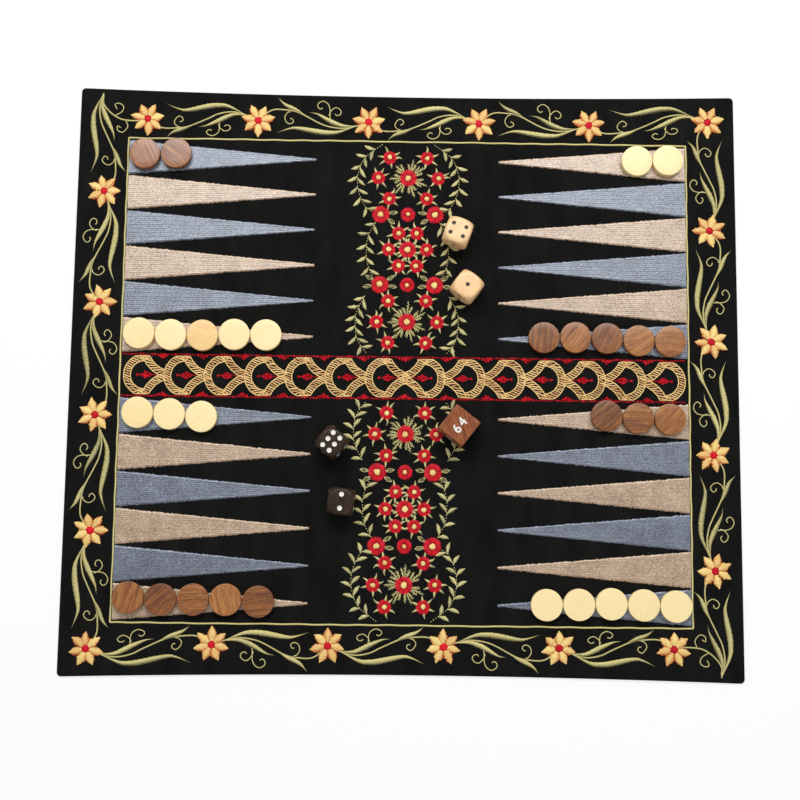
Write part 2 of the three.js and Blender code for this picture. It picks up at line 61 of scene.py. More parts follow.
mat_low, mat_high = node_box("face_cloth")
line_high = node_box("frame_line")[1]
HALF_X, HALF_Y, CLOTH_Z = mat_high
SEAM_Z, PLAY_Z = mat_low[2], line_high[2]
LINE_WIDTH = 1.6
FIELD_X, FIELD_Y = line_high[:2] - LINE_WIDTH / 2
print("mat", HALF_X * 2, "x", HALF_Y * 2, "mm, stitching from", CLOTH_Z, "to", PLAY_Z)

# %% [markdown]
# ## Surfaces
# Every piece is one or more grids of points. A grid could be made with Blender's own tools,
# but whole arrays are faster and say plainly where each point lies. A patch holds a grid, or a
# stack of equal grids, and every point also carries its "lay": how far along and across the
# stitch or the wood grain it lies, in millimetres, and a tint that tells copies apart and
# carries painted shade and painted highlights. The materials read that attribute.

# %% Grids and patches
def grid_faces(rows, columns, wrap=False):
    """Four-cornered faces of a grid; wrap joins the last row to the first."""
    index = np.arange(rows * columns).reshape(rows, columns)
    here = index if wrap else index[:-1]
    following = np.roll(index, -1, axis=0) if wrap else index[1:]
    corners = [here[:, :-1], following[:, :-1], following[:, 1:], here[:, 1:]]
    return np.stack(corners, axis=-1).reshape(-1, 4)


def patch(points, lay, slot=0, wrap=False):
    """A grid of points, or a stack of grids, as vertices, faces, lay and material slots."""
    points = np.asarray(points, float)
    rows, columns = points.shape[-3:-1]
    copies = points.reshape(-1, rows * columns, 3)
    steps = np.arange(len(copies))[:, None, None] * rows * columns
    faces = (grid_faces(rows, columns, wrap)[None] + steps).reshape(-1, 4)
    lay = np.broadcast_to(lay, points.shape).reshape(-1, 3)
    return copies.reshape(-1, 3), faces, lay, np.full(len(faces), slot)


print("a grid of 3 by 3 points has", len(grid_faces(3, 3)), "faces")

# %% Pieces
WELD_GAP = 1e-6


def put(name, data):
    """A new object in the scene, at the origin."""
    thing = bpy.data.objects.new(name, data)
    bpy.context.scene.collection.objects.link(thing)
    return thing


def make_piece(name, patches, finishes, body="mat", stands_for=None, weld=False, pip=None):
    """One smooth mesh object from patches, riding on a body and standing for a CAD node. pip
    gives each point one more number, kept as the attribute pip."""
    vertices, faces, lay, slots = zip(*patches)
    starts = np.cumsum([0] + [len(part) for part in vertices])
    vertices = np.concatenate(vertices) * MM
    faces = np.concatenate([part + start for part, start in zip(faces, starts)])
    mesh = bpy.data.meshes.new(name)
    mesh.vertices.add(len(vertices))
    mesh.vertices.foreach_set("co", vertices.astype(np.float32).ravel())
    mesh.loops.add(faces.size)
    mesh.loops.foreach_set("vertex_index", faces.astype(np.int32).ravel())
    mesh.polygons.add(len(faces))
    mesh.polygons.foreach_set("loop_start", np.arange(0, faces.size, 4, dtype=np.int32))
    mesh.polygons.foreach_set("material_index", np.concatenate(slots).astype(np.int32))
    mesh.polygons.foreach_set("use_smooth", np.ones(len(faces), dtype=bool))
    attribute = mesh.attributes.new("lay", "FLOAT_VECTOR", "POINT")
    attribute.data.foreach_set("vector", np.concatenate(lay).astype(np.float32).ravel())
    if pip is not None:
        attribute = mesh.attributes.new("pip", "FLOAT", "POINT")
        attribute.data.foreach_set("value", pip.astype(np.float32))
    mesh.update(calc_edges=True)
    if weld:
        shell = bmesh.new()
        shell.from_mesh(mesh)
        bmesh.ops.remove_doubles(shell, verts=shell.verts, dist=WELD_GAP)
        bmesh.ops.recalc_face_normals(shell, faces=shell.faces)
        shell.to_mesh(mesh)
        shell.free()
    for finish in finishes:
        mesh.materials.append(finish)
    piece = put(name, mesh)
    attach(piece, body)
    if stands_for:
        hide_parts(stands_for)
    print(name, len(mesh.polygons), "faces")
    return piece


# %% [markdown]
# ## Finishes
# A material is a small sum of patterns. Wiring each node by hand is long, so one class wraps a
# socket: arithmetic on it adds Math nodes, and its node method adds any other kind. Colours
# are written as seen on screen, from 0 to 255.

# %% A socket that does arithmetic
def srgb(red, green, blue):
    """A colour as seen on screen, 0 to 255, as Blender's linear one."""
    share = np.array([red, green, blue]) / 255
    linear = np.where(share <= 0.04045, share / 12.92, ((share + 0.055) / 1.055) ** 2.4)
    return (*(float(value) for value in linear), 1.0)


class Wire:
    """A socket of a node tree. Numbers and wires combine with + - * and /."""

    def __init__(self, tree, socket=None):
        self.tree, self.socket = tree, socket

    def node(self, kind, settings=None, sockets=None, out=0):
        """Add a node of this type: settings first, then values or links of its sockets."""
        made = self.tree.nodes.new(kind)
        for key, value in (settings or {}).items():
            setattr(made, key, value)
        for key, value in (sockets or {}).items():
            if isinstance(value, Wire):
                self.tree.links.new(value.socket, made.inputs[key])
            else:
                made.inputs[key].default_value = value
        return Wire(self.tree, made.outputs[out])

    def math(self, operation, first, second=0.0):
        """One Math node."""
        return self.node("ShaderNodeMath", {"operation": operation}, {0: first, 1: second})

    def __add__(self, other):
        return self.math("ADD", self, other)

    def __radd__(self, other):
        return self.math("ADD", other, self)

    def __sub__(self, other):
        return self.math("SUBTRACT", self, other)

    def __rsub__(self, other):
        return self.math("SUBTRACT", other, self)

    def __mul__(self, other):
        return self.math("MULTIPLY", self, other)

    def __rmul__(self, other):
        return self.math("MULTIPLY", other, self)

    def __truediv__(self, other):
        return self.math("DIVIDE", self, other)

    def __rtruediv__(self, other):
        return self.math("DIVIDE", other, self)

    def sine(self):
        """The sine of this value."""
        return self.math("SINE", self)

    def within(self, low, high):
        """0 below low, 1 above high, smooth between."""
        settings = {"interpolation_type": "SMOOTHSTEP"}
        sockets = {"Value": self, "From Min": low, "From Max": high}
        return self.node("ShaderNodeMapRange", settings, sockets)

    def blend(self, first, second):
        """From one colour or colour wire to another as this value goes from 0 to 1."""
        ends = [end if isinstance(end, Wire) else srgb(*end) for end in (first, second)]
        sockets = {0: self, 6: ends[0], 7: ends[1]}
        return self.node("ShaderNodeMix", {"data_type": "RGBA"}, sockets, out=2)

    def ramp(self, dark, middle, pale):
        """Through three colours, evenly, as this value goes from 0 to 1."""
        made = self.node("ShaderNodeValToRGB", None, {0: self.within(0.0, 1.0)})
        stops = made.socket.node.color_ramp.elements
        stops.new(0.5)
        for stop, place, color in zip(stops, (0.0, 0.5, 1.0), (dark, middle, pale)):
            stop.position, stop.color = place, srgb(*color)
        return made

    def parts(self):
        """The three numbers of a vector."""
        split = self.node("ShaderNodeSeparateXYZ", None, {0: self})
        return [Wire(self.tree, output) for output in split.socket.node.outputs]

    def stretched(self, scale):
        """A vector with each axis multiplied."""
        return self.node("ShaderNodeMapping", None, {"Vector": self, "Scale": scale})

    def noise(self, scale, detail=2.0, roughness=0.5):
        """Cloudy noise from 0 to 1 on this vector."""
        sockets = {"Vector": self, "Scale": scale, "Detail": detail, "Roughness": roughness}
        return self.node("ShaderNodeTexNoise", None, sockets)


# %% Materials from wires
def new_finish(name, roughness=0.6, **fixed):
    """A material, its first wire and its shader; fixed sets the shader's constant sockets."""
    finish = bpy.data.materials.new(name)
    finish.use_nodes = True
    shader = finish.node_tree.nodes["Principled BSDF"]
    shader.inputs["Roughness"].default_value = roughness
    for key, value in fixed.items():
        shader.inputs[key.replace("_", " ")].default_value = value
    return finish, Wire(finish.node_tree), shader


def dress(wire, shader, color, roughness=None, height=None, depth=0.0002, strength=1.0):
    """Link a colour, a roughness and a height, which becomes a Bump of that depth in metres."""
    links = wire.tree.links
    links.new(color.socket, shader.inputs["Base Color"])
    if roughness is not None:
        links.new(roughness.socket, shader.inputs["Roughness"])
    if height is not None:
        sockets = {"Height": height, "Distance": depth, "Strength": strength}
        bump = wire.node("ShaderNodeBump", None, sockets)
        links.new(bump.socket, shader.inputs["Normal"])


def lay_of(wire):
    """The piece's own lay: along, across and tint."""
    return wire.node("ShaderNodeAttribute", {"attribute_name": "lay"}, out="Vector")


def place_of(wire):
    """A point's place on its object, in metres."""
    return wire.node("ShaderNodeTexCoord", out="Object")


# %% [markdown]
# ## Camera, floor and light
# The photo looks down on the mat from a little in front of its middle. The camera's place and
# turn come from the frame line's four corners and the points' tips. The floor is white, and a
# long soft lamp beyond the far side gives the sheen there and the short shadows in front. A
# weak lamp in front keeps the near men bright.

# %% Camera
CAMERA_AT = np.array([-10.4, -103.2, 748.4 + PLAY_Z])
CAMERA_RIGHT = np.array([0.999866, 0.011764, 0.011402])
CAMERA_DOWN = np.array([0.013037, -0.992814, -0.118959])
CAMERA_FORWARD = np.array([0.009921, 0.119092, -0.992834])
FOCAL_PIXELS, PHOTO_PIXELS, SENSOR_WIDTH = 1250.0, 800.0, 36.0


def set_pose(thing, right, up, back, place):
    """Turn and place a camera or a lamp by its own three axes; the place is in metres."""
    columns = np.column_stack([right, up, back, place])
    thing.matrix_world = Matrix(np.vstack([columns, [0, 0, 0, 1]]).tolist())


camera_data = bpy.data.cameras.new("camera")
camera_data.sensor_width = SENSOR_WIDTH
camera_data.lens = SENSOR_WIDTH * FOCAL_PIXELS / PHOTO_PIXELS
camera = put("camera", camera_data)
set_pose(camera, CAMERA_RIGHT, -CAMERA_DOWN, -CAMERA_FORWARD, CAMERA_AT * MM)
bpy.context.scene.camera = camera
print("lens", camera_data.lens)

# %% Floor
FLOOR_HALF, FLOOR_Z, FLOOR_GLOW = 3000.0, -0.05, 0.75
floor_finish, wire, shader = new_finish("white_floor", 0.9, Base_Color=(0.98, 0.98, 0.98, 1))
seen = wire.node("ShaderNodeLightPath").socket.node.outputs
paths = [Wire(wire.tree, seen[key]) for key in ("Is Camera Ray", "Is Glossy Ray", "Is Transmission Ray")]
share = (paths[0] + paths[1] + paths[2]) * FLOOR_GLOW
glow = wire.node("ShaderNodeEmission", None, {"Color": (1, 1, 1, 1), "Strength": 1.0})
plain = Wire(wire.tree, shader.outputs[0])
mixed = wire.node("ShaderNodeMixShader", None, {0: share, 1: plain, 2: glow})
wire.tree.links.new(mixed.socket, wire.tree.nodes["Material Output"].inputs["Surface"])

side = np.linspace(-FLOOR_HALF, FLOOR_HALF, 3)
flat = np.stack([*np.meshgrid(side, side, indexing="ij"), np.full((3, 3), FLOOR_Z)], axis=-1)
floor_mesh = bpy.data.meshes.new("floor")
floor_mesh.from_pydata((flat.reshape(-1, 3) * MM).tolist(), [], grid_faces(3, 3).tolist())
floor_mesh.materials.append(floor_finish)
floor = put("floor", floor_mesh)
print("floor", 2 * FLOOR_HALF, "mm wide")

# %% Light
WORLD_LIGHT = 0.45
world = bpy.data.worlds.new("studio")
world.use_nodes = True
background = world.node_tree.nodes["Background"].inputs
background["Color"].default_value = (1, 1, 1, 1)
background["Strength"].default_value = WORLD_LIGHT
bpy.context.scene.world = world


def unit(vectors):
    """Vectors brought to length 1."""
    return vectors / np.linalg.norm(vectors, axis=-1, keepdims=True)


def area_lamp(name, place, target, size, power):
    """A lamp, size wide and deep, at a place that points at a target, all in metres."""
    data = bpy.data.lights.new(name, "AREA")
    data.shape, data.energy = "RECTANGLE", power
    data.size, data.size_y = size
    back = unit(np.array(place, float) - np.array(target, float))
    right = unit(np.cross([0, 0, 1], back))
    set_pose(put(name, data), right, np.cross(back, right), back, place)
    print(name, power, "watts")


area_lamp("window_lamp", (0, 0.62, 1.0), (0, 0, 0), (1.1, 0.35), 10)
area_lamp("front_lamp", (0.35, -0.75, 0.9), (0.05, -0.08, 0), (0.8, 0.5), 1.2)
bpy.context.scene.view_settings.view_transform = "Standard"

# %% [markdown]
# ## The cloth
# Face and backing are two cloths, sewn together inside out and turned, so their edge is round
# and shows no stitching. A flat plane would look dead: the border sinks and rises a little
# between the stitching and the hem. The sheet is a grid whose corners are bent into quarter
# rounds, and its height follows a round edge and a few slow waves.

# %% Cloth finish
# Object coordinates are in metres, so these noise scales count waves in a metre.
WEAVE_STEP = 0.55
cloth_finish, wire, shader = new_finish("black_cloth", 0.95, Specular_IOR_Level=0.05, Sheen_Weight=0.01)
place = place_of(wire)
warp, weft = ((axis * (TURN / (WEAVE_STEP * MM))).sine() for axis in place.parts()[:2])
weave = warp * weft
cloudy = place.stretched((6.0, 2.0, 2.0)).noise(14.0, 3.0)
fuzz = place.noise(900.0)
lint = place.noise(420.0, 1.0).within(0.8, 0.82)
tone = cloudy * 0.6 + fuzz * 0.4 + weave * 0.08
black = tone.within(0.25, 0.85).blend((16, 16, 16), (30, 30, 29))
black = lint.blend(black, (54, 54, 52))
dress(wire, shader, black, height=weave * 0.5 + fuzz, depth=0.00012, strength=0.5)

felt_finish, wire, shader = new_finish("grey_felt", 1.0)
wool = place_of(wire).noise(700.0, 4.0, 0.7)
dress(wire, shader, wool.blend((92, 88, 83), (128, 124, 116)), height=wool, depth=0.0004)
print("cloth finishes", cloth_finish.name, felt_finish.name)

# %% Cloth outline and waves
LONG_EDGE_PULL, CORNER_RADIUS = 2.8, 2.6
WAVE_DEPTH, WAVE_FADE = 0.45, 9.0
PUCKER_DEPTH, PUCKER_STEP, PUCKER_REACH = 0.16, 5.2, 3.5
EDGE_STEPS = [0.0, 0.12, 0.35, 0.7, 1.2, 2.2, 4.0]
GRID_COLUMNS, GRID_ROWS = 150, 130


def edge_y(x):
    """Half the mat's depth at x: the long edges draw in between the corners, as a parabola."""
    share = np.clip(np.abs(x) / (HALF_X - CORNER_RADIUS), 0, 1)
    return HALF_Y - LONG_EDGE_PULL * (1 - share ** 2)


def cloth_dip(x, y):
    """The cloth's height above its flat lie, which is never above 0: slow waves outside the
    frame line, as sines whose phase sways, and short puckers close to the two long edges."""
    outside = np.maximum(np.abs(x) - FIELD_X, np.abs(y) - FIELD_Y)
    fade = np.clip(outside / WAVE_FADE, 0, 1)
    slow = 0.5 + 0.5 * np.sin(x * 0.061 + 1.3 * np.sin(y * 0.043)) * np.cos(y * 0.057 + 0.7)
    near_edge = np.exp(-(edge_y(x) - np.abs(y)) / PUCKER_REACH)
    pucker = 0.5 + 0.5 * np.sin(TURN * x / PUCKER_STEP + 1.6 * np.sin(x * 0.11))
    return -(WAVE_DEPTH * slow * fade ** 2 + PUCKER_DEPTH * pucker * near_edge * fade)


def clustered(half, middle_count):
    """Stations from -half to half that crowd together at both ends."""
    inner = np.linspace(-half + EDGE_STEPS[-1], half - EDGE_STEPS[-1], middle_count)
    ends = np.array(EDGE_STEPS[:-1])
    return np.r_[-half + ends, inner, (half - ends)[::-1]]


def mat_grid(columns, rows):
    """Points of the mat's outline and how far each lies from the edge: a square grid whose
    long edges draw in and whose corners are bent by the map s' = s sqrt(1 - t^2/2) of a square
    onto a disc."""
    x, y = np.meshgrid(clustered(HALF_X, columns), clustered(HALF_Y, rows), indexing="ij")
    inset_x, inset_y = HALF_X - np.abs(x), HALF_Y - np.abs(y)
    s, t = np.clip(1 - inset_x / CORNER_RADIUS, 0, 1), np.clip(1 - inset_y / CORNER_RADIUS, 0, 1)
    bent_s, bent_t = s * np.sqrt(1 - t ** 2 / 2), t * np.sqrt(1 - s ** 2 / 2)
    flat_x = np.where(s > 0, np.sign(x) * (HALF_X - CORNER_RADIUS * (1 - bent_s)), x)
    flat_y = np.where(t > 0, np.sign(y) * (HALF_Y - CORNER_RADIUS * (1 - bent_t)), y)
    corner = CORNER_RADIUS * (1 - np.hypot(bent_s, bent_t))
    inset = np.where((s > 0) & (t > 0), corner, np.minimum(inset_x, inset_y))
    return flat_x, flat_y * edge_y(flat_x) / HALF_Y, np.clip(inset, 0, None)


print("the long edges draw in by", HALF_Y - edge_y(0.0), "mm")

# %% Cloth sheets
FELT_COLUMNS, FELT_ROWS, FELT_WAVE = 40, 36, 0.12


def cloth_sheet(name, up, node):
    """The face (up = 1) or backing (up = -1) as a sheet with a round turned edge."""
    x, y, inset = mat_grid(GRID_COLUMNS, GRID_ROWS)
    edge = CLOTH_Z - SEAM_Z
    rise = edge * np.sqrt(1 - (1 - np.clip(inset / edge, 0, 1)) ** 2)
    z = SEAM_Z + rise + cloth_dip(x, y) * rise / edge if up > 0 else SEAM_Z - rise
    points = np.stack([x, y, z], axis=-1)[::up]
    return make_piece(name, [patch(points, points)], [cloth_finish], stands_for=node)


face = cloth_sheet("face_sheet", 1, "face_cloth")
backing = cloth_sheet("backing_sheet", -1, "backing_cloth")
felt_low, felt_high = node_box("interlining")
felt_x, felt_y = np.meshgrid(np.linspace(felt_low[0], felt_high[0], FELT_COLUMNS),
                             np.linspace(felt_low[1], felt_high[1], FELT_ROWS), indexing="ij")
waves = FELT_WAVE * np.sin(felt_x * 0.09) * np.cos(felt_y * 0.08)
felt_z = (felt_low[2] + felt_high[2]) / 2 + waves
points = np.stack([felt_x, felt_y, felt_z], axis=-1)
felt = make_piece("felt_layer", [patch(points, points)], [felt_finish], stands_for="interlining")

# %% [markdown]
# ## Thread
# All the stitching is one rayon-like thread in a few colours. On satin stitch the threads lie
# side by side across a shape, on fill stitch in long rows. A picture of thread would be easy,
# but it would blur close up, so the finish draws the threads from each point's own lay: a sine
# across the run makes the grooves, and noise makes some threads lighter than others.

# %% Satin finish
# The lay is in millimetres, so a noise scale of 1 is one wave in a millimetre.
def satin_finish(name, dark, pale, slant=0.35, step=0.75, shine=0.8, vary=1.0):
    """Threads side by side along a shape, a step apart and leaning over by slant. The tint,
    which falls off towards a shape's rim as painted shade and carries painted highlights,
    sets how light it is; threads and chance sort the rest, by vary."""
    finish, wire, shader = new_finish(name, 0.38, Specular_IOR_Level=shine)
    lay = lay_of(wire)
    along, across, tint = lay.parts()
    groove = ((along + across * slant) / step * TURN).sine() * 0.5 + 0.5
    sort = lay.stretched((1.7, 0.25, 9.0)).noise(1.0)
    tone = tint + ((sort - 0.5) * 0.9 + (groove - 0.5) * 0.4) * vary
    color = tone.within(0.0, 1.0).blend(dark, pale)
    dress(wire, shader, color, height=groove + sort * 0.6, depth=0.00016, strength=0.7)
    return finish


olive_finish = satin_finish("olive_thread", (72, 64, 16), (224, 211, 136))
khaki_finish = satin_finish("khaki_thread", (66, 58, 14), (220, 210, 140))
gold_finish = satin_finish("gold_thread", (188, 96, 10), (255, 219, 138), vary=1.6)
rung_finish = satin_finish("pale_gold_thread", (176, 90, 12), (255, 217, 146), vary=1.6)
petal_finish = satin_finish("petal_thread", (194, 80, 0), (255, 226, 140), 0.7, 0.95, shine=0.5, vary=1.7)
red_finish = satin_finish("red_thread", (92, 0, 12), (232, 28, 46), shine=0.15)
heart_finish = satin_finish("heart_thread", (206, 120, 26), (255, 236, 156), shine=0.3, vary=1.6)
print(len(bpy.data.materials), "finishes so far")

# %% Lines on the cloth
KNOT_CUTS, RIM_SINK = 30, 0.06


def along_path(places, run, path):
    """Points at places along a path whose stations lie at run."""
    return np.column_stack([np.interp(places, run, path[:, axis]) for axis in (0, 1)])


def smooth_line(knots, step):
    """A line through the knots: cubic pieces whose slope at a knot is half the way between
    its neighbours, then cut into even steps. Returns points and how far along each lies."""
    knots = np.asarray(knots, float)
    ends = np.vstack([2 * knots[0] - knots[1], knots, 2 * knots[-1] - knots[-2]])
    t = np.linspace(0, len(knots) - 1, KNOT_CUTS * len(knots))
    at = np.minimum(t.astype(int), len(knots) - 2)
    f = (t - at)[:, None]
    a, b, c, d = ends[at], ends[at + 1], ends[at + 2], ends[at + 3]
    fine = b + 0.5 * f * (c - a + f * (2 * a - 5 * b + 4 * c - d + f * (3 * (b - c) + d - a)))
    run = np.r_[0, np.cumsum(np.linalg.norm(np.diff(fine, axis=0), axis=1))]
    even = np.linspace(0, run[-1], max(4, int(round(run[-1] / step)) + 1))
    return along_path(even, run, fine), even


def heading(angle):
    """Flat directions at angles."""
    return np.stack([np.cos(angle), np.sin(angle)], axis=-1)


def turned(way, angle):
    """Flat directions turned by an angle."""
    cos, sin = np.cos(angle), np.sin(angle)
    x, y = way[..., 0], way[..., 1]
    return np.stack([cos * x - sin * y, sin * x + cos * y], axis=-1)


def leftward(way):
    """Flat directions turned to the left by a right angle."""
    return np.stack([-way[..., 1], way[..., 0]], axis=-1)


def arched(flat, rise):
    """Lift flat points by rise above the cloth, their rim just inside it."""
    z = CLOTH_Z - RIM_SINK + cloth_dip(flat[..., 0], flat[..., 1]) + rise
    return np.concatenate([flat, z[..., None]], axis=-1)


# %% Strips of satin stitch
FULL_WIDTH = 1.4


def painted_rim_shade(beside):
    """Painted light across a stitched shape: a painted highlight in its middle and painted shade at its
    rims.
    """
    return 0.45 * (np.sqrt(1 - beside ** 2) - 0.72)


def section(line, way, wide, across):
    """Points across a line: its left side, how far each point lies from the middle, as a
    share and in millimetres, and its flat place."""
    left = unit(leftward(way))
    beside = np.linspace(-1, 1, across)
    offset = wide[..., None] / 2 * beside
    return left, beside, offset, line[..., None, :] + left[..., None, :] * offset[..., None]


def satin_strip(knots, width, height, across=7, step=0.45, tint=0.5, ridge=0.14, line=None,
                painted_side_shade=0.0, ragged=0.0):
    """A raised strip along a line. width is a number or a function of the share along the
    line; the section is half an ellipse, and every other station is a little lower, as
    threads are that lie side by side. Its tint carries painted shade at the rims and a
    painted highlight in the middle. The side shade amount paints the half further from a
    player lighter and the near half darker: painted light and shade. ragged makes the width
    waver as a sine that hurries and slows."""
    path, run = smooth_line(knots, step) if line is None else line
    wide = np.broadcast_to(width(run / run[-1]) if callable(width) else width, run.shape)
    wide = wide * (1 + ragged * np.sin(run * 4.6 + 2 * np.sin(run * 1.3)))
    left, beside, offset, flat = section(path, np.gradient(path, axis=0), wide, across)
    threads = np.clip(wide / FULL_WIDTH, 0.3, 1) * (1 - ridge * (np.arange(len(run)) % 2))
    rise = height * threads[:, None] * np.sqrt(1 - beside ** 2)
    # Painted shade at the rims and on the near half, painted highlight in the middle and on the far half.
    tints = tint + painted_rim_shade(beside) + painted_side_shade * beside * left[:, 1:]
    lay = np.stack(np.broadcast_arrays(run[:, None], offset, tints), axis=-1)
    return patch(arched(flat, rise), lay)


# %% Many stitches at once
DASH_SHAPE = [0.45, 1.0, 1.0, 0.45]


def stitches(starts, ends, width, height, shape, slot=0, bend=0.0, across=5, tint=0.5, painted_side_shade=0.0,
             rim=1.0, ragged=0.0):
    """Many short stitched shapes at once. Each runs from its start to its end on a shallow
    bow: start + s (end - start) + 4 bend s (1 - s) sideways. shape gives its width at even
    stations, as shares of width. The side shade amount paints one half lighter as in a strip,
    rim scales the painted shade at the sides and the painted highlight in the middle, and
    ragged makes the width waver from station to station."""
    starts, ends = np.atleast_2d(starts).astype(float), np.atleast_2d(ends).astype(float)
    shape = np.asarray(shape, float)
    s = np.linspace(0, 1, len(shape))
    way = (ends - starts)[:, None]
    bow = 4 * np.broadcast_to(bend, len(way))[:, None, None] * leftward(way)
    line = starts[:, None] + way * s[:, None] + bow * (s * (1 - s))[:, None]
    waver = 1 + chance.normal(0, ragged, (len(way), len(shape)))
    wide = np.broadcast_to(width, len(way))[:, None] * shape * waver
    left, beside, offset, flat = section(line, way + bow * (1 - 2 * s)[:, None], wide, across)
    rise = height * np.clip(shape, 0.35, 1)[:, None] * np.sqrt(1 - beside ** 2)
    run = np.linalg.norm(way, axis=2)[..., None] * s[:, None]
    # Painted shade at the sides and on the near half, painted highlight in the middle and on the far
    # half.
    tints = np.broadcast_to(tint, len(way))[:, None, None] + rim * painted_rim_shade(beside)
    tints = tints + painted_side_shade * beside * left[..., 1:]
    lay = np.stack(np.broadcast_arrays(run, offset, tints), axis=-1)
    return patch(arched(flat, rise), lay, slot)


# %% [markdown]
# ## The frame line
# One line of satin stitch runs round the field. It was led by hand, so it wavers a little. A
# curve with a bevel would do, but the same strip that makes stems makes this line too.

# %% Frame line
LINE_TRIM, LINE_RISE = 0.5, 0.62


def wavering_box(half_x, half_y, step, waver):
    """A closed rectangle of stations, pushed sideways by two slow sines."""
    corners = np.array([[-1, -1], [1, -1], [1, 1], [-1, 1], [-1, -1]]) * [half_x, half_y]
    run = np.r_[0, np.cumsum(np.linalg.norm(np.diff(corners, axis=0), axis=1))]
    even = np.linspace(0, run[-1], int(run[-1] / step) + 1)
    path = along_path(even, run, corners)
    on_short = np.isclose(np.abs(path[:, 0]), half_x)
    sway = waver * (np.sin(even * 0.31 + 1.5 * np.sin(even * 0.043)) + 0.6 * np.sin(even * 0.083))
    path[:, 0] += np.where(on_short, sway, 0)
    path[:, 1] += np.where(on_short, 0, sway)
    return path, even


line = wavering_box(FIELD_X, FIELD_Y, step=0.42, waver=0.12)
strip = satin_strip(None, LINE_WIDTH - LINE_TRIM, LINE_RISE, tint=0.85, line=line)
make_piece("frame_line_stitching", [strip], [olive_finish], stands_for="frame_line")

# %% [markdown]
# ## The points
# Each point is a long triangle of dense fill stitch, six in a quadrant, blue and beige in
# turn. Its rim is a little higher and ragged where the rows end. One grid runs from the base
# to the tip and from edge to edge; the rows themselves are finer than the grid, so the finish
# draws them.

# %% Fill finish
FILL_ROW, FILL_STITCH, FILL_THREAD = 1.25, 1.3, 0.5


def fill_finish(name, dark, middle, pale, sheen=(1.0, 1.0, 1.0)):
    """Rows of stitches along the point. Between the rows lie lines of needle holes, set off
    from row to row, and the threads differ a little in tone. The tint carries a painted
    highlight and painted shade on a rim, and sheen colours what the thread reflects."""
    finish, wire, shader = new_finish(name, 0.3, Specular_IOR_Level=1.0, IOR=1.65,
                                      Specular_Tint=(*sheen, 1.0))
    lay = lay_of(wire)
    along, across, tint = lay.parts()
    wander = lay.noise(0.45)
    row = ((across + wander * 0.5) * (TURN / FILL_ROW)).sine()
    dot = ((along + across * 0.4 + wander * 3) * (TURN / FILL_STITCH)).sine()
    hole = row.within(0.2, 0.95) * (dot.within(0.1, 0.85) * 0.6 + 0.4)
    thread = (across * (TURN / FILL_THREAD)).sine() * 0.5 + 0.5
    speck = lay.stretched((1.1, 1.7, 1.0)).noise(1.0, 3.0, 0.75)
    cloud = lay.noise(0.09)
    light = (speck - 0.5) * 2.2 + (cloud - 0.5) * 0.5 + (thread - 0.5) * 0.1
    color = (tint + light - hole * 0.36 + 0.05).ramp(dark, middle, pale)
    dress(wire, shader, color, height=thread * 0.3 + speck - hole, depth=0.0002, strength=0.3)
    return finish


BLUE_SHEEN = (0.88, 0.94, 1.0)
fills = {
    "blue": fill_finish("blue_thread", (48, 53, 66), (90, 96, 113), (136, 143, 162), BLUE_SHEEN),
    "beige": fill_finish("beige_thread", (122, 90, 60), (178, 147, 116), (216, 191, 160)),
}
print("fill finishes", *fills)

# %% Point shapes
POINTS, POINT_SPACING, POINT_TIP, POINT_ROOM, BASE_GAP = 6, 0.5, 1.4, 0.3, 0.05
POINT_STATIONS, POINT_ACROSS = 231, 19
POINT_RISE, RIM_WIDTH, RIM_LIFT, PAINTED_RIM_SHADE = 0.54, 0.5, 0.08, 0.3
CREST_AT, CREST_WIDTH = 0.6, 0.4
EDGE_RAGGED, EDGE_SWAY, LAY_STEP = 0.14, 0.06, 17
BASE_X = FIELD_X - LINE_WIDTH / 2 - BASE_GAP
TIP_X = node_box("upper_right_blue_points")[0][0]
edge_low, edge_high = node_box("upper_band_edging")
FIRST_Y = edge_high[1] + POINT_ROOM
PITCH = (FIELD_Y - LINE_WIDTH / 2 - POINT_ROOM - FIRST_Y) / POINTS


def fill_point(side_x, side_y, index):
    """One point: u runs from base to tip, v from edge to edge. The half width falls in a
    straight line, and both edges are ragged by noise; the rim rises over half a millimetre,
    and on it a painted highlight lies on the far side and painted shade on the near one."""
    u = np.linspace(0, 1, POINT_STATIONS)
    v = np.linspace(-1, 1, POINT_ACROSS)
    v = np.sign(v) * (1 - (1 - np.abs(v)) ** 1.5)
    half = ((PITCH - POINT_SPACING) / 2 * (1 - u) + POINT_TIP / 2 * u)[:, None]
    ragged = chance.normal(0, EDGE_RAGGED, (2, 1 + len(u) // 2))
    ragged = ragged.repeat(2, axis=1)[:, :len(u), None]
    sway = EDGE_SWAY * (np.sin(u * 60 + chance.uniform(0, 6)) * (1 - u))[:, None]
    edges = np.where(v > 0, ragged[0], -ragged[1]) * np.abs(v) ** 4 + sway * np.abs(v)
    y = FIRST_Y + PITCH * (index + 0.5) + v * half + edges
    x = BASE_X + (TIP_X - BASE_X) * u[:, None] + 0 * y
    inset = (1 - np.abs(v)) * half
    rim = np.clip(inset / RIM_WIDTH, 0, 1) * np.clip((1 - u) * 150, 0, 1)[:, None]
    crest = np.exp(-((inset - CREST_AT) / CREST_WIDTH) ** 2)
    rise = POINT_RISE * np.sqrt(1 - (1 - rim) ** 2) + RIM_LIFT * crest * rim
    # Painted highlight on the far rim, painted shade on the near rim.
    tint = 0.5 + PAINTED_RIM_SHADE * crest * np.sign(v) * side_y
    lay = np.stack([side_x * x + LAY_STEP * index, side_y * y, tint], axis=-1)
    points = arched(np.stack([side_x * x, side_y * y], axis=-1), rise)
    outward = 1 if side_x * side_y < 0 else -1
    return patch(points[:, ::outward], lay[:, ::outward])


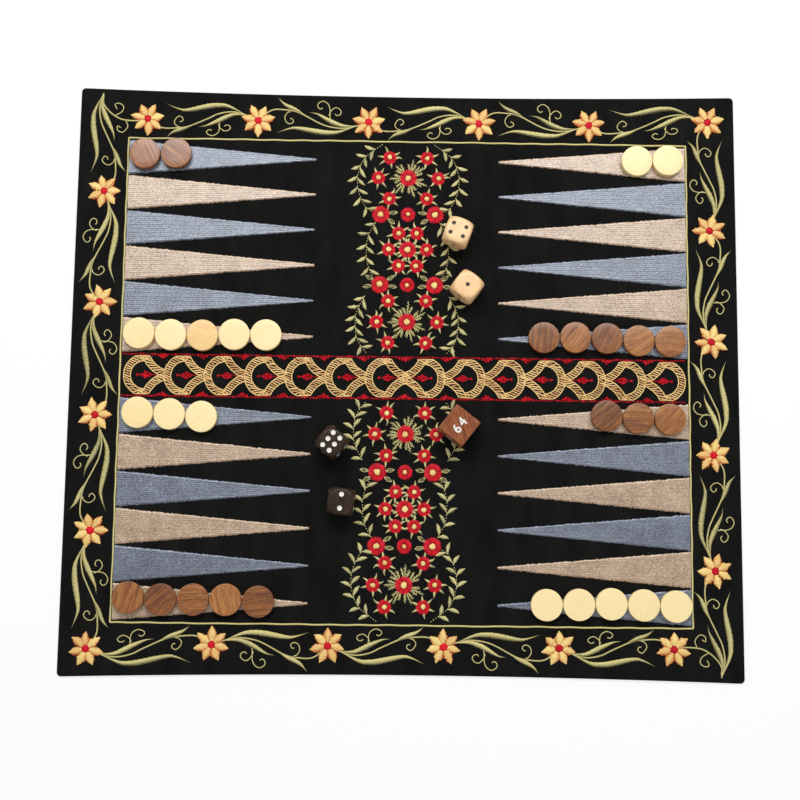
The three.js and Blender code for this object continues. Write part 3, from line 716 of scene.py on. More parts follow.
QUADRANTS = {"upper_left": (-1, 1, 1), "lower_left": (-1, -1, 0),
             "upper_right": (1, 1, 0), "lower_right": (1, -1, 1)}
for quadrant, (side_x, side_y, first_blue) in QUADRANTS.items():
    for color, first in (("blue", first_blue), ("beige", 1 - first_blue)):
        patches = [fill_point(side_x, side_y, index) for index in range(first, POINTS, 2)]
        group = f"{quadrant}_{color}"
        make_piece(f"{group}_fill", patches, [fills[color]], stands_for=f"{group}_points")

# %% [markdown]
# ## The scale band
# A gold ladder runs in half rounds, each with two hollow tails, like fish scales that meet in
# the middle. Every ladder is two edge threads with slanting rungs, so the black cloth shows
# between. Inside each scale sits a red bud, and red beads line the band. A ladder drawn in the
# finish of a flat ring would cast no shadow on the cloth, so each thread, rung and bead is a
# small shape of its own.

# %% Scale sizes
SCALES, LADDER, NOSE_ROOM, THREAD_INSET, BAND_MARGIN = 7, 4.7, 1.05, 0.3, 0.4
RUNG_REACH = LADDER / 2 - THREAD_INSET
band_high = node_box("scale_band")[1]
SCALE_OUTER = band_high[1]
SCALE_MIDDLE = SCALE_OUTER + NOSE_ROOM - LADDER / 2
SCALE_PITCH = band_high[0] / SCALES
SCALE_X = -band_high[0] + SCALE_OUTER + SCALE_PITCH * np.arange(SCALES)
TAIL_RADIUS, TAIL_START, TAIL_STOP, TAIL_RISE = 18.0, 1.6, 1.2, 1.6
BAND_EDGE = SCALE_OUTER - BAND_MARGIN
print(2 * SCALES, "scales,", SCALE_PITCH, "mm apart")

# %% Ladders
RUNG_STEP, RUNG_SLOPE, LEAN_LIMIT, LEAN_BREAK, CREST_RUNGS = 1.4, -0.38, 0.85, 0.35, 2.0
THREAD_SHAKE, RUNG_SHAKE = 0.07, 0.09


def arc(center, radius, start, end, step=0.6):
    """Stations along part of a circle."""
    angle = np.linspace(start, end, max(4, int(abs(end - start) * radius / step)))
    return np.array(center) + radius * heading(angle), np.abs(angle - start) * radius


def in_band(points):
    """Points held back at the band's edge."""
    return np.clip(points, [-np.inf, -BAND_EDGE], [np.inf, BAND_EDGE])


def lean_at(angle, mirror):
    """How far a rung leans from the ladder's own square at an angle of its circle: the slope
    less the angle, up to a limit, so that all rungs slope alike. The lean jumps to the other
    side where it would pass a quarter turn and a little."""
    half_turn = np.pi / 2 + LEAN_BREAK * mirror
    lean = (RUNG_SLOPE * mirror - angle + half_turn) % np.pi - half_turn
    return np.clip(lean, -LEAN_LIMIT, LEAN_LIMIT)


def ladder(center, radius, start, end, mirror):
    """Two edge threads on circles, and between them rungs of one slope, whichever way the
    ladder runs. start holds each thread's own first angle; nothing passes the band's edge."""
    made = []
    for offset, first in zip((-RUNG_REACH, RUNG_REACH), start):
        path, run = arc(center, radius + offset, first, end)
        path = in_band(path + chance.normal(0, THREAD_SHAKE, path.shape)) * [mirror, 1]
        made.append(satin_strip(None, width=0.72, height=0.5, across=5, tint=0.9, ridge=0.4,
                                line=(path, run)))
    angle = np.linspace(start.mean() - CREST_RUNGS / radius * np.sign(end - start[0]), end, 200)
    rungs = np.cos(lean_at(angle, mirror))
    placed = np.cumsum(rungs) * abs(angle[1] - angle[0]) * radius / RUNG_STEP
    angle = np.interp(np.arange(0.4, placed[-1]), placed, angle)
    lean = lean_at(angle, mirror) + chance.normal(0, RUNG_SHAKE, len(angle))
    middle = np.array(center) + heading(angle) * radius
    half = heading(angle + lean) * (RUNG_REACH / np.cos(lean))[:, None]
    low, high = (in_band(middle + sign * half) * [mirror, 1] for sign in (-1, 1))
    tint = chance.uniform(0.35, 1.15, len(angle))
    made.append(stitches(low, high, width=0.92, height=0.5, shape=DASH_SHAPE, slot=1, tint=tint))
    return made


# %% Scales
CREST_GAP = 0.06
HALF_ROUND = np.full(2, 0.5 * np.pi + CREST_GAP), 1.5 * np.pi - CREST_GAP


def tail_circle(x):
    """The middle of the circle that a scale's upper tail follows, from its crest to the next
    scale's nose: it stands off the middle of that chord by sqrt(radius^2 - (chord / 2)^2)."""
    along, fall = SCALE_PITCH - SCALE_OUTER - TAIL_STOP - TAIL_START, SCALE_OUTER - TAIL_RISE
    chord = np.hypot(along, fall)
    away = np.sqrt(TAIL_RADIUS ** 2 - (chord / 2) ** 2) / chord
    return x + TAIL_START + along / 2 + fall * away, TAIL_RISE + fall / 2 + along * away


patches = []
for mirror in (1, -1):
    for x in SCALE_X:
        far_x, far_y = tail_circle(x)
        threads = TAIL_RADIUS + np.array([-1, 1]) * RUNG_REACH
        crest = np.pi + np.arcsin((far_y - BAND_EDGE) / threads)
        nose = np.pi + np.arcsin((far_y - TAIL_RISE / 2) / TAIL_RADIUS)
        patches += ladder((x + NOSE_ROOM, 0), SCALE_MIDDLE, *HALF_ROUND, mirror)
        patches += ladder((far_x, far_y), TAIL_RADIUS, crest, nose, mirror)
        patches += ladder((far_x, -far_y), TAIL_RADIUS, -crest, -nose, mirror)
make_piece("gold_ladder_band", patches, [gold_finish, rung_finish], stands_for="scale_band")

# %% Knots and beads
BEAD_SHAPE, BEAD_RISE = [0.3, 0.9, 1.0, 0.85, 0.3], 0.6


def dome(centers, radius, height, slot=0, around=12, rings=4, tint=0.5, rim=0.0, lumpy=0.0):
    """Small round knots: rings shrink as the cosine and rise as the sine of one angle. rim
    paints shade at the foot and a painted highlight on top, and lumpy lets the reach differ
    from side to side."""
    centers = np.atleast_2d(centers).astype(float)
    angle = np.linspace(0, TURN, around, endpoint=False)[:, None]
    lift = np.linspace(0, np.pi / 2, rings)[None, :]
    reach = np.broadcast_to(radius, len(centers))[:, None, None] * np.maximum(np.cos(lift), 0.02)
    reach = reach * (1 + chance.normal(0, lumpy, (len(centers), around, 1)))
    flat = centers[:, None, None] + reach[..., None] * heading(angle)
    # Painted shade at the foot, painted highlight towards the top.
    tints = np.broadcast_to(tint, len(centers))[:, None, None] + rim * (np.sin(lift) - 0.8)
    lay = np.stack(np.broadcast_arrays(flat[..., 0], flat[..., 1], tints), axis=-1)
    return patch(arched(flat, height * np.sin(lift)), lay, slot, wrap=True)


def bead_rows(rows, step=1.1):
    """Places of beads in rows: each row is its height and its first and last place."""
    rows = [(np.arange(first, last, step), y) for y, first, last in rows]
    return np.concatenate([np.column_stack([x, np.full(len(x), y)]) for x, y in rows])


def bead_bunch(places, bunch, way, width, spread=0.08):
    """A bunch of lying beads at every place; way is each bead's length and lean."""
    middles = (places[:, None] + bunch).reshape(-1, 2)
    middles = middles + chance.normal(0, spread, middles.shape)
    half = np.broadcast_to(way, (len(places), len(bunch), 2)).reshape(-1, 2) / 2
    tint = chance.uniform(0.2, 1.0, len(middles))
    return stitches(middles - half, middles + half, width, BEAD_RISE, BEAD_SHAPE, tint=tint)


# %% Red buds
BUD = bead_rows([(0, -1.4, 5.6), (0.85, -0.1, 4.4), (-0.85, -0.1, 4.4),
                 (1.65, 1.2, 3.2), (-1.65, 1.2, 3.2)])
BUD_WAY = np.column_stack([np.full(len(BUD), 1.25), 0.35 * np.sign(BUD[:, 1])])
BUD_TIP = [-3.3, 0]
THREAD = bead_rows([(0, -2.4, -1.4), (0, 5.6, SCALE_PITCH - SCALE_OUTER - 3.4)], 0.9)
THREAD_WAY = np.array([1.1, 0])
patches = []
for mirror in ([1, 1], [-1, 1]):
    middles = np.column_stack([SCALE_X, 0 * SCALE_X])
    patches.append(dome((middles + BUD_TIP) * mirror, radius=0.95, height=0.62))
    patches.append(bead_bunch(middles * mirror, BUD * mirror, BUD_WAY * mirror, width=1.0))
    patches.append(bead_bunch(middles * mirror, THREAD * mirror, THREAD_WAY, width=0.5))
buds = make_piece("red_buds", patches, [red_finish])

# %% Red beads
SPRIG = bead_rows([(0.4, -3.0, 2.8), (1.2, -1.2, 1.9), (1.9, 0.2, 1.2)])
SPRIG_WAY, SPRIG_X = np.array([0.9, 0.95]), SCALE_X + SCALE_PITCH - SCALE_OUTER - 0.6
SPRIG_WIDTH, BEAD_STEP, BEAD_ROOM = 1.05, 1.75, 0.6
for name, up in (("upper", 1), ("lower", -1)):
    bead_x = np.arange(edge_low[0] + BEAD_ROOM, edge_high[0] - BEAD_ROOM, BEAD_STEP)
    bead_y = up * (edge_low[1] + edge_high[1]) / 2 + 0.14 * np.sin(bead_x * 0.5)
    beads = np.column_stack([bead_x, bead_y])
    size = 0.5 + 0.22 * (np.sin(bead_x * 0.9) > 0.2)
    patches = [dome(beads, radius=size, height=0.55, tint=chance.uniform(0.2, 0.8, len(beads)))]
    patches.append(stitches(beads[:-1], beads[1:], width=0.45, height=0.4, shape=DASH_SHAPE, across=3))
    for mirror in (1, -1):
        roots = np.column_stack([SPRIG_X * mirror, np.full(SCALES, up * edge_low[1])])
        flip = [mirror, -up]
        patches.append(bead_bunch(roots, SPRIG * flip, SPRIG_WAY * flip, SPRIG_WIDTH))
    make_piece(f"{name}_red_beads", patches, [red_finish], stands_for=f"{name}_band_edging")

# %% [markdown]
# ## The border vine
# Flowers stand in rows round the field, and a stem swings from each to the next with a big
# leaf, two smaller ones and thin curls. Each stem could be led by points of its own, but a
# vine repeats: one unit is written once, in shares of the way from flower to flower and of the
# room beside it, and laid down with its big leaf outside and inside in turn. Half the border is
# drawn this way; the other half is the same, turned round.

# %% Vine outlines
STEM = [[0.1, 0.2], [0.23, 0.36], [0.36, 0.275], [0.46, 0.055], [0.63, -0.37], [0.74, -0.48],
        [0.88, -0.46]]
BIG_LEAF = [[0.1, 0.2], [0.27, 0.585], [0.37, 0.635], [0.46, 0.585], [0.64, 0.415], [0.72, 0.45],
            [0.83, 0.67]]
SECOND_LEAF = [[0.1, 0.2], [0.22, 0.24], [0.31, 0.085], [0.37, -0.07], [0.47, -0.325], [0.54, -0.395]]
SMALL_LEAF = [[0.58, -0.27], [0.65, -0.465], [0.76, -0.71], [0.824, -1]]
LEAVES = ((BIG_LEAF, 3.6), (SECOND_LEAF, 3.2), (SMALL_LEAF, 2.7))
LAST_STEM = [[0, 0], [0.22, -0.11], [0.55, -0.06], [0.74, 0.12], [0.9, 0.38], [1, 0.68], [1, 1]]
UNIT_CURL = [[0.711, -0.41], [0.737, -0.37], [0.761, -0.18], [0.75, 0.03], [0.717, 0.155], [0.684, 0.05],
             [0.692, -0.09], [0.714, -0.113]]
LOW_CURL = [[0.342, -0.05], [0.352, -0.21], [0.354, -0.556], [0.373, -0.78], [0.416, -0.894],
            [0.457, -0.803], [0.465, -0.662], [0.442, -0.549], [0.419, -0.6]]
HIGH_CURL = [[0.361, -0.254], [0.348, -0.437], [0.311, -0.606], [0.275, -0.585], [0.251, -0.444],
             [0.264, -0.31], [0.292, -0.282], [0.305, -0.352]]
CURLS = [UNIT_CURL, LOW_CURL, HIGH_CURL]
CORNER_CURLS = [
    [[181, -161.8], [177.2, -164.2], [176.3, -167.6], [179.1, -169.6], [181.5, -168.7], [180.3, -165.9]],
    [[174.3, -158.2], [173.3, -154.5], [176.2, -151.1], [179.3, -152.2], [179.6, -155], [177.4, -153.9]],
]
print(len(LEAVES), "leaves and", len(CURLS), "curls to a unit")

# %% Vine unit
HEM_MARGIN, LINE_MARGIN, LEAF_RISE = 3.4, 1.0, 0.8
LONG_LINE, SHORT_LINE, CORNER_DROP = 12.3, 13.9, 3.2
BORDER = HALF_X - FIELD_X
ROW_X, ROW_Y = -FIELD_X - SHORT_LINE, -FIELD_Y - LONG_LINE
CORNER_FLOWER = np.array([ROW_X, ROW_Y - CORNER_DROP])
ROOM = {row: (line - LINE_MARGIN, BORDER - line - HEM_MARGIN)
        for row, line in (("short", SHORT_LINE), ("long", LONG_LINE))}
OUTWARD = {"short": np.array([-1.0, 0]), "long": np.array([0, -1.0])}
print("flower rows at x", ROW_X, "and y", ROW_Y)


def on_mat(shares, row, start, end, side):
    """A unit's shares as points: along from start to end, then beside in the row's room."""
    along, beside = np.array(shares, float).T
    swing = beside * side
    room_in, room_out = ROOM[row]
    offset = np.where(swing > 0, swing * room_out, swing * room_in)
    way = np.asarray(end) - np.asarray(start)
    return np.asarray(start) + along[:, None] * way + offset[:, None] * OUTWARD[row]


def leaf_width(widest):
    """Width along a leaf, as a function: a sine raised to a power, so that it is slim at both
    ends, and nowhere less than a stalk that tapers in a straight line."""
    def width(share):
        """The larger of leaf and stalk, at a share of the way along."""
        return np.maximum(widest * np.sin(np.pi * share) ** 1.25, 0.5 * (1 - share) + 0.15)

    return width


def stem_strip(knots):
    """A vine's stem."""
    return satin_strip(knots, width=1.0, height=0.55, tint=0.62)


def curl_strip(knots):
    """A vine's thin curl."""
    return satin_strip(knots, width=0.72, height=0.5, across=5, tint=0.66)


def vine_unit(row, start, end, side, from_flower, turn):
    """Stem, leaves and curls between two flowers; a unit that starts at the hem has one curl."""
    def lay_down(shares):
        """This unit's shares as points, turned round for the second half."""
        return on_mat(shares, row, start, end, side) * turn

    stem = ([[0, 0]] if from_flower else []) + STEM + [[1, 0]]
    made = [stem_strip(lay_down(stem))]
    for leaf, widest in LEAVES:
        tint = chance.uniform(0.38, 0.64)
        # Each leaf carries painted shade at its rims and on its near half, and a painted highlight on its
        # far half.
        made.append(satin_strip(lay_down(leaf), leaf_width(widest), LEAF_RISE, across=9, tint=tint,
                                painted_side_shade=0.6, ragged=0.1))
    curls = CURLS if from_flower else CURLS[:1]
    return made + [curl_strip(lay_down(curl)) for curl in curls]


# %% Whole border
UNITS, FIRST_STEP, LAST_STEP = 5, 5.6, 11.3
SHORT_PITCH = (HALF_Y - HEM_MARGIN - CORNER_FLOWER[1]) / (UNITS - STEM[0][0])
LONG_PITCH = (FIELD_X - LAST_STEP - ROW_X - FIRST_STEP) / UNITS
patches, flowers, petal_turns = [], [], []
for turn in (1, -1):
    half_turn = np.pi if turn < 0 else 0
    for number in range(UNITS):
        start = np.array([ROW_X, CORNER_FLOWER[1] + (UNITS - number) * SHORT_PITCH])
        end = start - [0, SHORT_PITCH]
        patches += vine_unit("short", start, end, 1 - 2 * (number % 2), number > 0, turn)
        flowers.append(end * turn)
        petal_turns.append((np.pi / 2 if number == UNITS - 1 else 0) + half_turn)
    start = CORNER_FLOWER
    for number in range(UNITS):
        end = np.array([ROW_X + FIRST_STEP + (number + 1) * LONG_PITCH, ROW_Y])
        patches += vine_unit("long", start, end, 1 - 2 * (number % 2), True, turn)
        flowers.append(end * turn)
        petal_turns.append(np.pi / 2 + half_turn)
        start = end
    bunch_x = -ROW_X + STEM[0][1] * ROOM["short"][1]
    patches.append(stem_strip(on_mat(LAST_STEM, "long", start, [bunch_x, ROW_Y], 1) * turn))
    patches += [curl_strip(np.array(curl) * turn) for curl in CORNER_CURLS]
print(len(patches), "strips and", len(flowers), "flowers")

# %% Flowers
PETALS, PETAL_ROOT, PETAL_REACH, PETAL_WIDTH, PETAL_RISE = 7, 1.4, 10.7, 5.3, 1.1
EYE_RADIUS, EYE_RISE = 2.75, 1.2
PETAL_SHAPE = np.interp(np.linspace(0, 9, 17), np.arange(10),
                        [0.34, 0.52, 0.74, 0.92, 1.0, 0.97, 0.85, 0.64, 0.36, 0.06])
flowers = np.array(flowers)
angle = np.array(petal_turns)[:, None] + np.arange(PETALS) * TURN / PETALS
way = heading(angle)
reach = PETAL_REACH * chance.uniform(0.93, 1.03, angle.shape)[..., None]
starts, ends = ((flowers[:, None] + way * far).reshape(-1, 2) for far in (PETAL_ROOT, reach))
tint = chance.uniform(0.36, 0.78, angle.size)
bend = chance.normal(0, 0.03, angle.size)
# The petals carry painted shade at their sides and on their near half, and painted highlights in the
# middle and on the far half.
patches.append(stitches(starts, ends, PETAL_WIDTH, PETAL_RISE, PETAL_SHAPE, slot=1, bend=bend,
                        across=9, tint=tint, painted_side_shade=0.35, rim=2.0, ragged=0.1))
tint = chance.uniform(0.55, 0.95, len(flowers))
# The eyes carry painted shade at their foot and a painted highlight on top.
patches.append(dome(flowers, EYE_RADIUS, EYE_RISE, slot=2, around=9, rings=6, tint=tint, rim=0.5,
                    lumpy=0.08))
threads = [olive_finish, petal_finish, red_finish]
make_piece("border_vine_stitching", patches, threads, stands_for="border_vine")

# %% [markdown]
# ## The centre columns
# Red rosettes with yellow hearts stand in two columns between the points, with short leaves,
# fern sprays and garlands of leaf pairs. They are flat trim on the face cloth, so they are
# made here only. Every leaf could be an object, but hundreds of objects are slow to handle, so
# equal shapes are laid down together, as stacks of one small grid.

# %% Rosette rows
COLUMN_X = 0.6
PANELS = ((79.4, 1), (-79.0, -1))
SMALL, MEDIUM, LARGE = 4.25, 4.5, 5.4
MIDDLE_ROW, NEAR_ROW, FEATHER_ROW, FERN_ROW = 0, 10.25, 22, 45
ROSETTE_ROWS = [
    (MIDDLE_ROW, [(-11.6, SMALL), (0, LARGE), (11.6, SMALL)]),
    (NEAR_ROW, [(-5.55, SMALL), (5.55, SMALL)]),
    (FEATHER_ROW, [(-16.7, LARGE), (0, MEDIUM), (16.7, LARGE)]),
    (32, [(-11.5, SMALL), (11.5, SMALL)]),
    (FERN_ROW, [(-18.45, SMALL), (0, LARGE), (18.45, SMALL)]),
    (57.8, [(-11.5, SMALL), (11.5, SMALL)]),
]
spots = np.array([
    (COLUMN_X + x, panel_y + up * below * row, radius, row, below)
    for panel_y, up in PANELS
    for row, places in ROSETTE_ROWS
    for below in ([1] if row == MIDDLE_ROW else [1, -1])
    for x, radius in places
])
centers, radii, rows = spots[:, :2], spots[:, 2], spots[:, 3]
print(len(spots), "rosettes")

# %% Rosettes
RING_AT, RING_HALF, RING_RISE, RIPPLE_RISE = 0.55, 0.47, 0.44, 0.12


def rosette(centers, radius, spokes=18):
    """A padded ring of satin stitch that fans out from the middle. Its section is half an
    ellipse round a share of the reach, and its rim and height ripple as the cosine of the
    spokes, each by its own amount. Slower lumps change its tone. The tone also carries
    painted shade: darker in the valleys between spokes, where the ring runs low at its rim
    and foot, and in a ring round the heart."""
    angle = np.linspace(0, TURN, 4 * spokes, endpoint=False)[:, None]
    out = np.linspace(1, 0.03, 9)[None, :]
    uneven = chance.uniform(0.1, 1.1, (len(radius), spokes)).repeat(4, axis=1)[..., None]
    ripple = np.cos(spokes * angle) * uneven
    phases = (len(radius), 1, 1)
    lumps = sum(np.cos(waves * angle + chance.uniform(0, 6, phases)) for waves in (3, 7))
    reach = radius[:, None, None] * out * (1 + 0.06 * ripple * out ** 3)
    flat = centers[:, None, None] + reach[..., None] * heading(angle)
    ring = np.sqrt(np.clip(1 - ((out - RING_AT) / RING_HALF) ** 2, 0, 1))
    rise = (RING_RISE + RIPPLE_RISE * ripple * out) * ring
    inside = np.exp(-((out - 0.42) / 0.14) ** 2)
    # Painted shade: darker in the spokes' valleys, where the ring is low, and in a ring round the heart.
    tint = 0.62 + (0.22 * ripple + 0.13 * lumps) * out + 0.55 * (ring - 0.75) - 0.3 * inside
    lay = np.stack(np.broadcast_arrays(angle * 4.0, reach, tint), axis=-1)
    return patch(arched(flat, rise), lay, wrap=True)


patches = [rosette(centers, radii)]
hearts = centers + chance.normal(0, 0.14, centers.shape)
heart_radii = radii * np.where(radii == MEDIUM, 0.31, 0.4)
tint = chance.uniform(0.5, 0.9, len(spots))
# The hearts carry painted shade at their foot and a painted highlight on top.
patches.append(dome(hearts, heart_radii, height=0.95, slot=1, around=9, rings=6, tint=tint, rim=0.8,
                    lumpy=0.1))
print(len(hearts), "hearts")

# %% Leaves round the rosettes
SPIKE_SHAPE = [0.55, 1.0, 0.95, 0.76, 0.52, 0.3, 0.06]
SPIKES, SPIKE_ROOT, PAIR_LEAN, PAIR_LENGTH = 6, 0.6, 0.17, 2.4
leafy = spots[radii == SMALL]
phase = np.where(leafy[:, 3] == NEAR_ROW, np.pi / 6, np.pi / 2)[:, None]
phase = phase + chance.uniform(-0.3, 0.3, phase.shape)
angle = phase + np.arange(SPIKES) * np.pi / 3 + chance.normal(0, 0.17, (len(leafy), SPIKES))
middle = spots[(radii == LARGE) & (rows == MIDDLE_ROW)]
pair = np.pi / 6 + np.arange(2 * SPIKES) // 2 * np.pi / 3 + np.tile([PAIR_LEAN, -PAIR_LEAN], SPIKES)
way = heading(np.concatenate([angle.ravel(), np.tile(pair, len(middle))]))
rooted = np.concatenate([np.repeat(leafy, SPIKES, axis=0), np.repeat(middle, 2 * SPIKES, axis=0)])
root, radius = rooted[:, :2], rooted[:, 2]
length = np.where(radius == LARGE, PAIR_LENGTH, chance.uniform(2.8, 3.8, len(rooted)))
starts, ends = (root + way * far[:, None] for far in (radius - SPIKE_ROOT, radius + length))
bend = chance.normal(0, 0.09, len(rooted))
tint = chance.uniform(0.5, 0.85, len(rooted))
patches.append(stitches(starts, ends, width=1.6, height=0.5, shape=SPIKE_SHAPE, slot=2, bend=bend,
                        tint=tint))
print(len(rooted), "short leaves")

# %% Fern sprays
TWIG_SHAPE = [0.7, 1.0, 0.9, 0.7, 0.3]
FERNS, FERN_TURN, FERN_ROOT, FAN_FOOT, BARB_SHIFT = 7, 1.41, 0.5, 0.55, 0.06
FAN = ((-0.34, 4.9), (0.0, 7.6), (0.34, 4.9))
BARBS = ((0.2, 1.5), (0.45, 1.7), (0.7, 1.4))
sprayed = spots[(radii == LARGE) & (rows == FERN_ROW)]
angle = FERN_TURN + np.arange(FERNS) * TURN / FERNS + chance.normal(0, 0.06, (len(sprayed), FERNS))
way = heading(angle.ravel())
middle = np.repeat(sprayed[:, :2], FERNS, axis=0)
for lean, length in FAN:
    root = middle + turned(way, lean * FAN_FOOT) * (LARGE - FERN_ROOT)
    twig = turned(way, lean + chance.normal(0, 0.05, len(way)))
    stalk = twig * length * chance.uniform(0.82, 1.1, (len(way), 1))
    tint = chance.uniform(0.6, 1.1, len(way))
    patches.append(stitches(root, root + stalk, width=0.8, height=0.48, shape=TWIG_SHAPE, slot=2,
                            across=4, tint=tint))
    for share, reach in BARBS:
        for side in (1, -1):
            start = root + stalk * (share + BARB_SHIFT * side)
            barb = turned(twig, side * chance.uniform(0.45, 0.85, len(way))) * reach
            barb = barb * chance.uniform(0.75, 1.2, (len(way), 1))
            tint = chance.uniform(0.35, 1.25, len(way))
            patches.append(stitches(start, start + barb, width=0.48, height=0.42, shape=TWIG_SHAPE,
                                    slot=2, across=4, tint=tint))
print(len(FAN) * len(way), "fern twigs")

# %% Open feathers
LOOP_SHAPE, LOOP_LENGTH, LOOP_ROOT = [0.8, 1, 1, 1, 1, 0.8], 5.4, 0.3
LOOP_LEANS, LOOP_BENDS = (-0.14, 0.58), (0.2, -0.2, 0.0)
feathered = spots[(radii == LARGE) & (rows == FEATHER_ROW)]
place, below = feathered[:, :2], feathered[:, 4]
inner = np.column_stack([np.sign(COLUMN_X - place[:, 0]), np.zeros(len(place))])
toward = np.where(place[:, 1] > 0, -1, 1) * below * inner[:, 0]
place = np.concatenate([place, place[below < 0]])
inner, toward = (np.concatenate([part, -part[below < 0]]) for part in (inner, toward))
for lean in LOOP_LEANS:
    way = turned(inner, toward * lean)
    start = place + way * (LARGE - LOOP_ROOT)
    for bend in LOOP_BENDS:
        patches.append(stitches(start, start + way * LOOP_LENGTH, width=0.45, height=0.38,
                                shape=LOOP_SHAPE, slot=2, bend=bend, across=3, tint=0.85, ragged=0.3))
print(len(LOOP_LEANS) * len(place), "open feathers")

# %% Garlands
GARLANDS = [
    (5.3, 10.8, [[-16, 66.4], [-26.9, 57.7], [-30.9, 47.7], [-31.3, 41.4], [-30.1, 34.7], [-25.3, 25.7],
                 [-16.6, 22]]),
    (0.4, 13.3, [[-19.7, 16.9], [-24.3, 8.1], [-25.2, -1.9], [-24.5, -8.8], [-20.9, -17.5],
                 [-16.5, -21.8]]),
    (0.4, 6.0, [[-25.6, -29], [-30.3, -38.1], [-31.3, -45.5], [-30, -55.9], [-24.4, -64.2]]),
]
PAIR_STEP, GARLAND_LEAF = 6.6, [0.2, 0.3, 0.7, 0.98, 1.0, 0.86, 0.55, 0.08]
PAIR_LEAVES = ((0.97, 0.0, 0.1), (-0.8, 1.3, -0.08))
STEM_DASH, STEM_STEP = [0.7, 1, 0.7], 0.9
for panel_y, up in PANELS:
    for mirror in (1, -1):
        outer = -mirror * up
        for first, spare, knots in GARLANDS:
            path, run = smooth_line(np.array(knots) * [mirror, up] + [COLUMN_X, panel_y], STEM_STEP)
            patches.append(stitches(path[:-1:2], path[1::2], width=0.5, height=0.34, shape=STEM_DASH,
                                    slot=2, across=3, tint=0.85))
            last = run[-1] - spare
            pairs = np.linspace(first, last, int(round((last - first) / PAIR_STEP)) + 1)
            for lean, later, bow in PAIR_LEAVES:
                node, ahead = (along_path(pairs + later + step, run, path) for step in (0, 1))
                aim = turned(unit(ahead - node), outer * lean + chance.normal(0, 0.09, len(pairs)))
                ends = node + aim * chance.uniform(6.5, 7.7, (len(pairs), 1))
                tints = chance.uniform(0.42, 0.72, len(pairs))
                # Each leaf carries painted shade at its sides and on its near half, and a painted
                # highlight on its far half.
                patches.append(stitches(node, ends, width=2.45, height=0.55, shape=GARLAND_LEAF, slot=2,
                                        bend=-outer * bow, across=7, tint=tints, painted_side_shade=0.32,
                                        ragged=0.08))
make_piece("centre_columns", patches, [red_finish, heart_finish, khaki_finish])

# %% [markdown]
# ## Wood
# The men are thin discs sawn from a turned rod or a plank, the dice are blocks with rounded
# corners, and the doubling cube is a crisp block of darker wood. One grain for all of them
# would look printed, for each piece was cut from its own place in the plank: its lay is its
# own coordinates, turned and moved by chance, so grain and tone differ from piece to piece.

# %% Wood finish
# A fresh seed keeps the wood as it is when stitches are added above.
chance = np.random.default_rng(5)
PAINT_BLUR, PLANK_REACH = 0.06, 900


def wood_finish(name, dark, middle, pale, contrast, spread, shine=0.5, pip=None):
    """Broad and fine streaks along the grain, pores, and a tone that differs from piece to
    piece by spread. pip, a colour and a radius, paints the pips within that radius."""
    finish, wire, shader = new_finish(name, Specular_IOR_Level=shine)
    lay = lay_of(wire)
    streak = lay.stretched((0.03, 0.4, 0.4)).noise(1.0, 3.0, 0.6)
    fine = lay.stretched((0.08, 2.0, 2.0)).noise(1.0, 2.0, 0.6)
    pore = lay.stretched((0.35, 4.5, 4.5)).noise(1.0, 2.0, 0.6)
    plank = lay.stretched((0.004, 0.004, 0.004)).noise(1.0, 1.0)
    grain = (streak - 0.5) * 0.7 + (fine - 0.5) + (pore - 0.5) * 0.8
    color = (grain * contrast + (plank - 0.5) * spread + 0.5).ramp(dark, middle, pale)
    if pip is not None:
        paint, radius = pip
        near = wire.node("ShaderNodeAttribute", {"attribute_name": "pip"}, out="Fac")
        color = near.within(radius - PAINT_BLUR, radius + PAINT_BLUR).blend(paint, color)
    dress(wire, shader, color, pore * 0.15 + 0.25, height=pore + fine, depth=0.0001, strength=0.3)
    return finish


LIGHT_PIP, DARK_PIP = 1.25, 1.45
light_wood = wood_finish("light_wood", (243, 200, 130), (255, 231, 171), (255, 241, 196), 0.35, 0.35)
honey_wood = wood_finish("honey_wood", (222, 164, 92), (246, 208, 144), (252, 224, 168), 0.45, 0.2)
dark_wood = wood_finish("dark_wood", (68, 30, 2), (142, 82, 32), (196, 134, 68), 0.95, 0.6, shine=0.75)
light_die = wood_finish("light_die_wood", (222, 164, 102), (247, 206, 152), (254, 222, 176), 0.45, 0.3,
                        pip=((46, 36, 38), LIGHT_PIP))
dark_die = wood_finish("dark_die_wood", (26, 17, 12), (54, 40, 31), (88, 68, 52), 0.8, 0.8, shine=0.2,
                       pip=((238, 236, 230), DARK_PIP))
cube_wood = wood_finish("cube_wood", (58, 24, 12), (124, 66, 38), (172, 102, 62), 1.0, 0.4, shine=0.3)
print(len(bpy.data.materials), "finishes so far")


def own_grain(local):
    """A piece's own coordinates, turned about z and moved by chance."""
    flat = turned(local[..., :2], chance.uniform(0, TURN))
    moved = chance.uniform(-PLANK_REACH, PLANK_REACH, 3)
    return np.concatenate([flat, local[..., 2:]], axis=-1) + moved


# %% Men
MAN_EDGE, MAN_SIDES, HONEY_MAN = 0.3, 72, "light_man_03"
MEN = [f"{color}_man_{number:02d}" for color in ("light", "dark") for number in range(1, 16)]


def man_profile(radius, thickness):
    """Half a section of a disc, from the middle of its underside to the middle of its top,
    with a quarter round at each edge."""
    bend = np.linspace(0, np.pi / 2, 5)
    low_r, low_z = radius - MAN_EDGE + MAN_EDGE * np.sin(bend), MAN_EDGE - MAN_EDGE * np.cos(bend)
    r = np.r_[0, radius * 0.5, low_r, low_r[::-1], radius * 0.5, 0]
    return r, np.r_[0, 0, low_z, thickness - low_z[::-1], thickness, thickness]


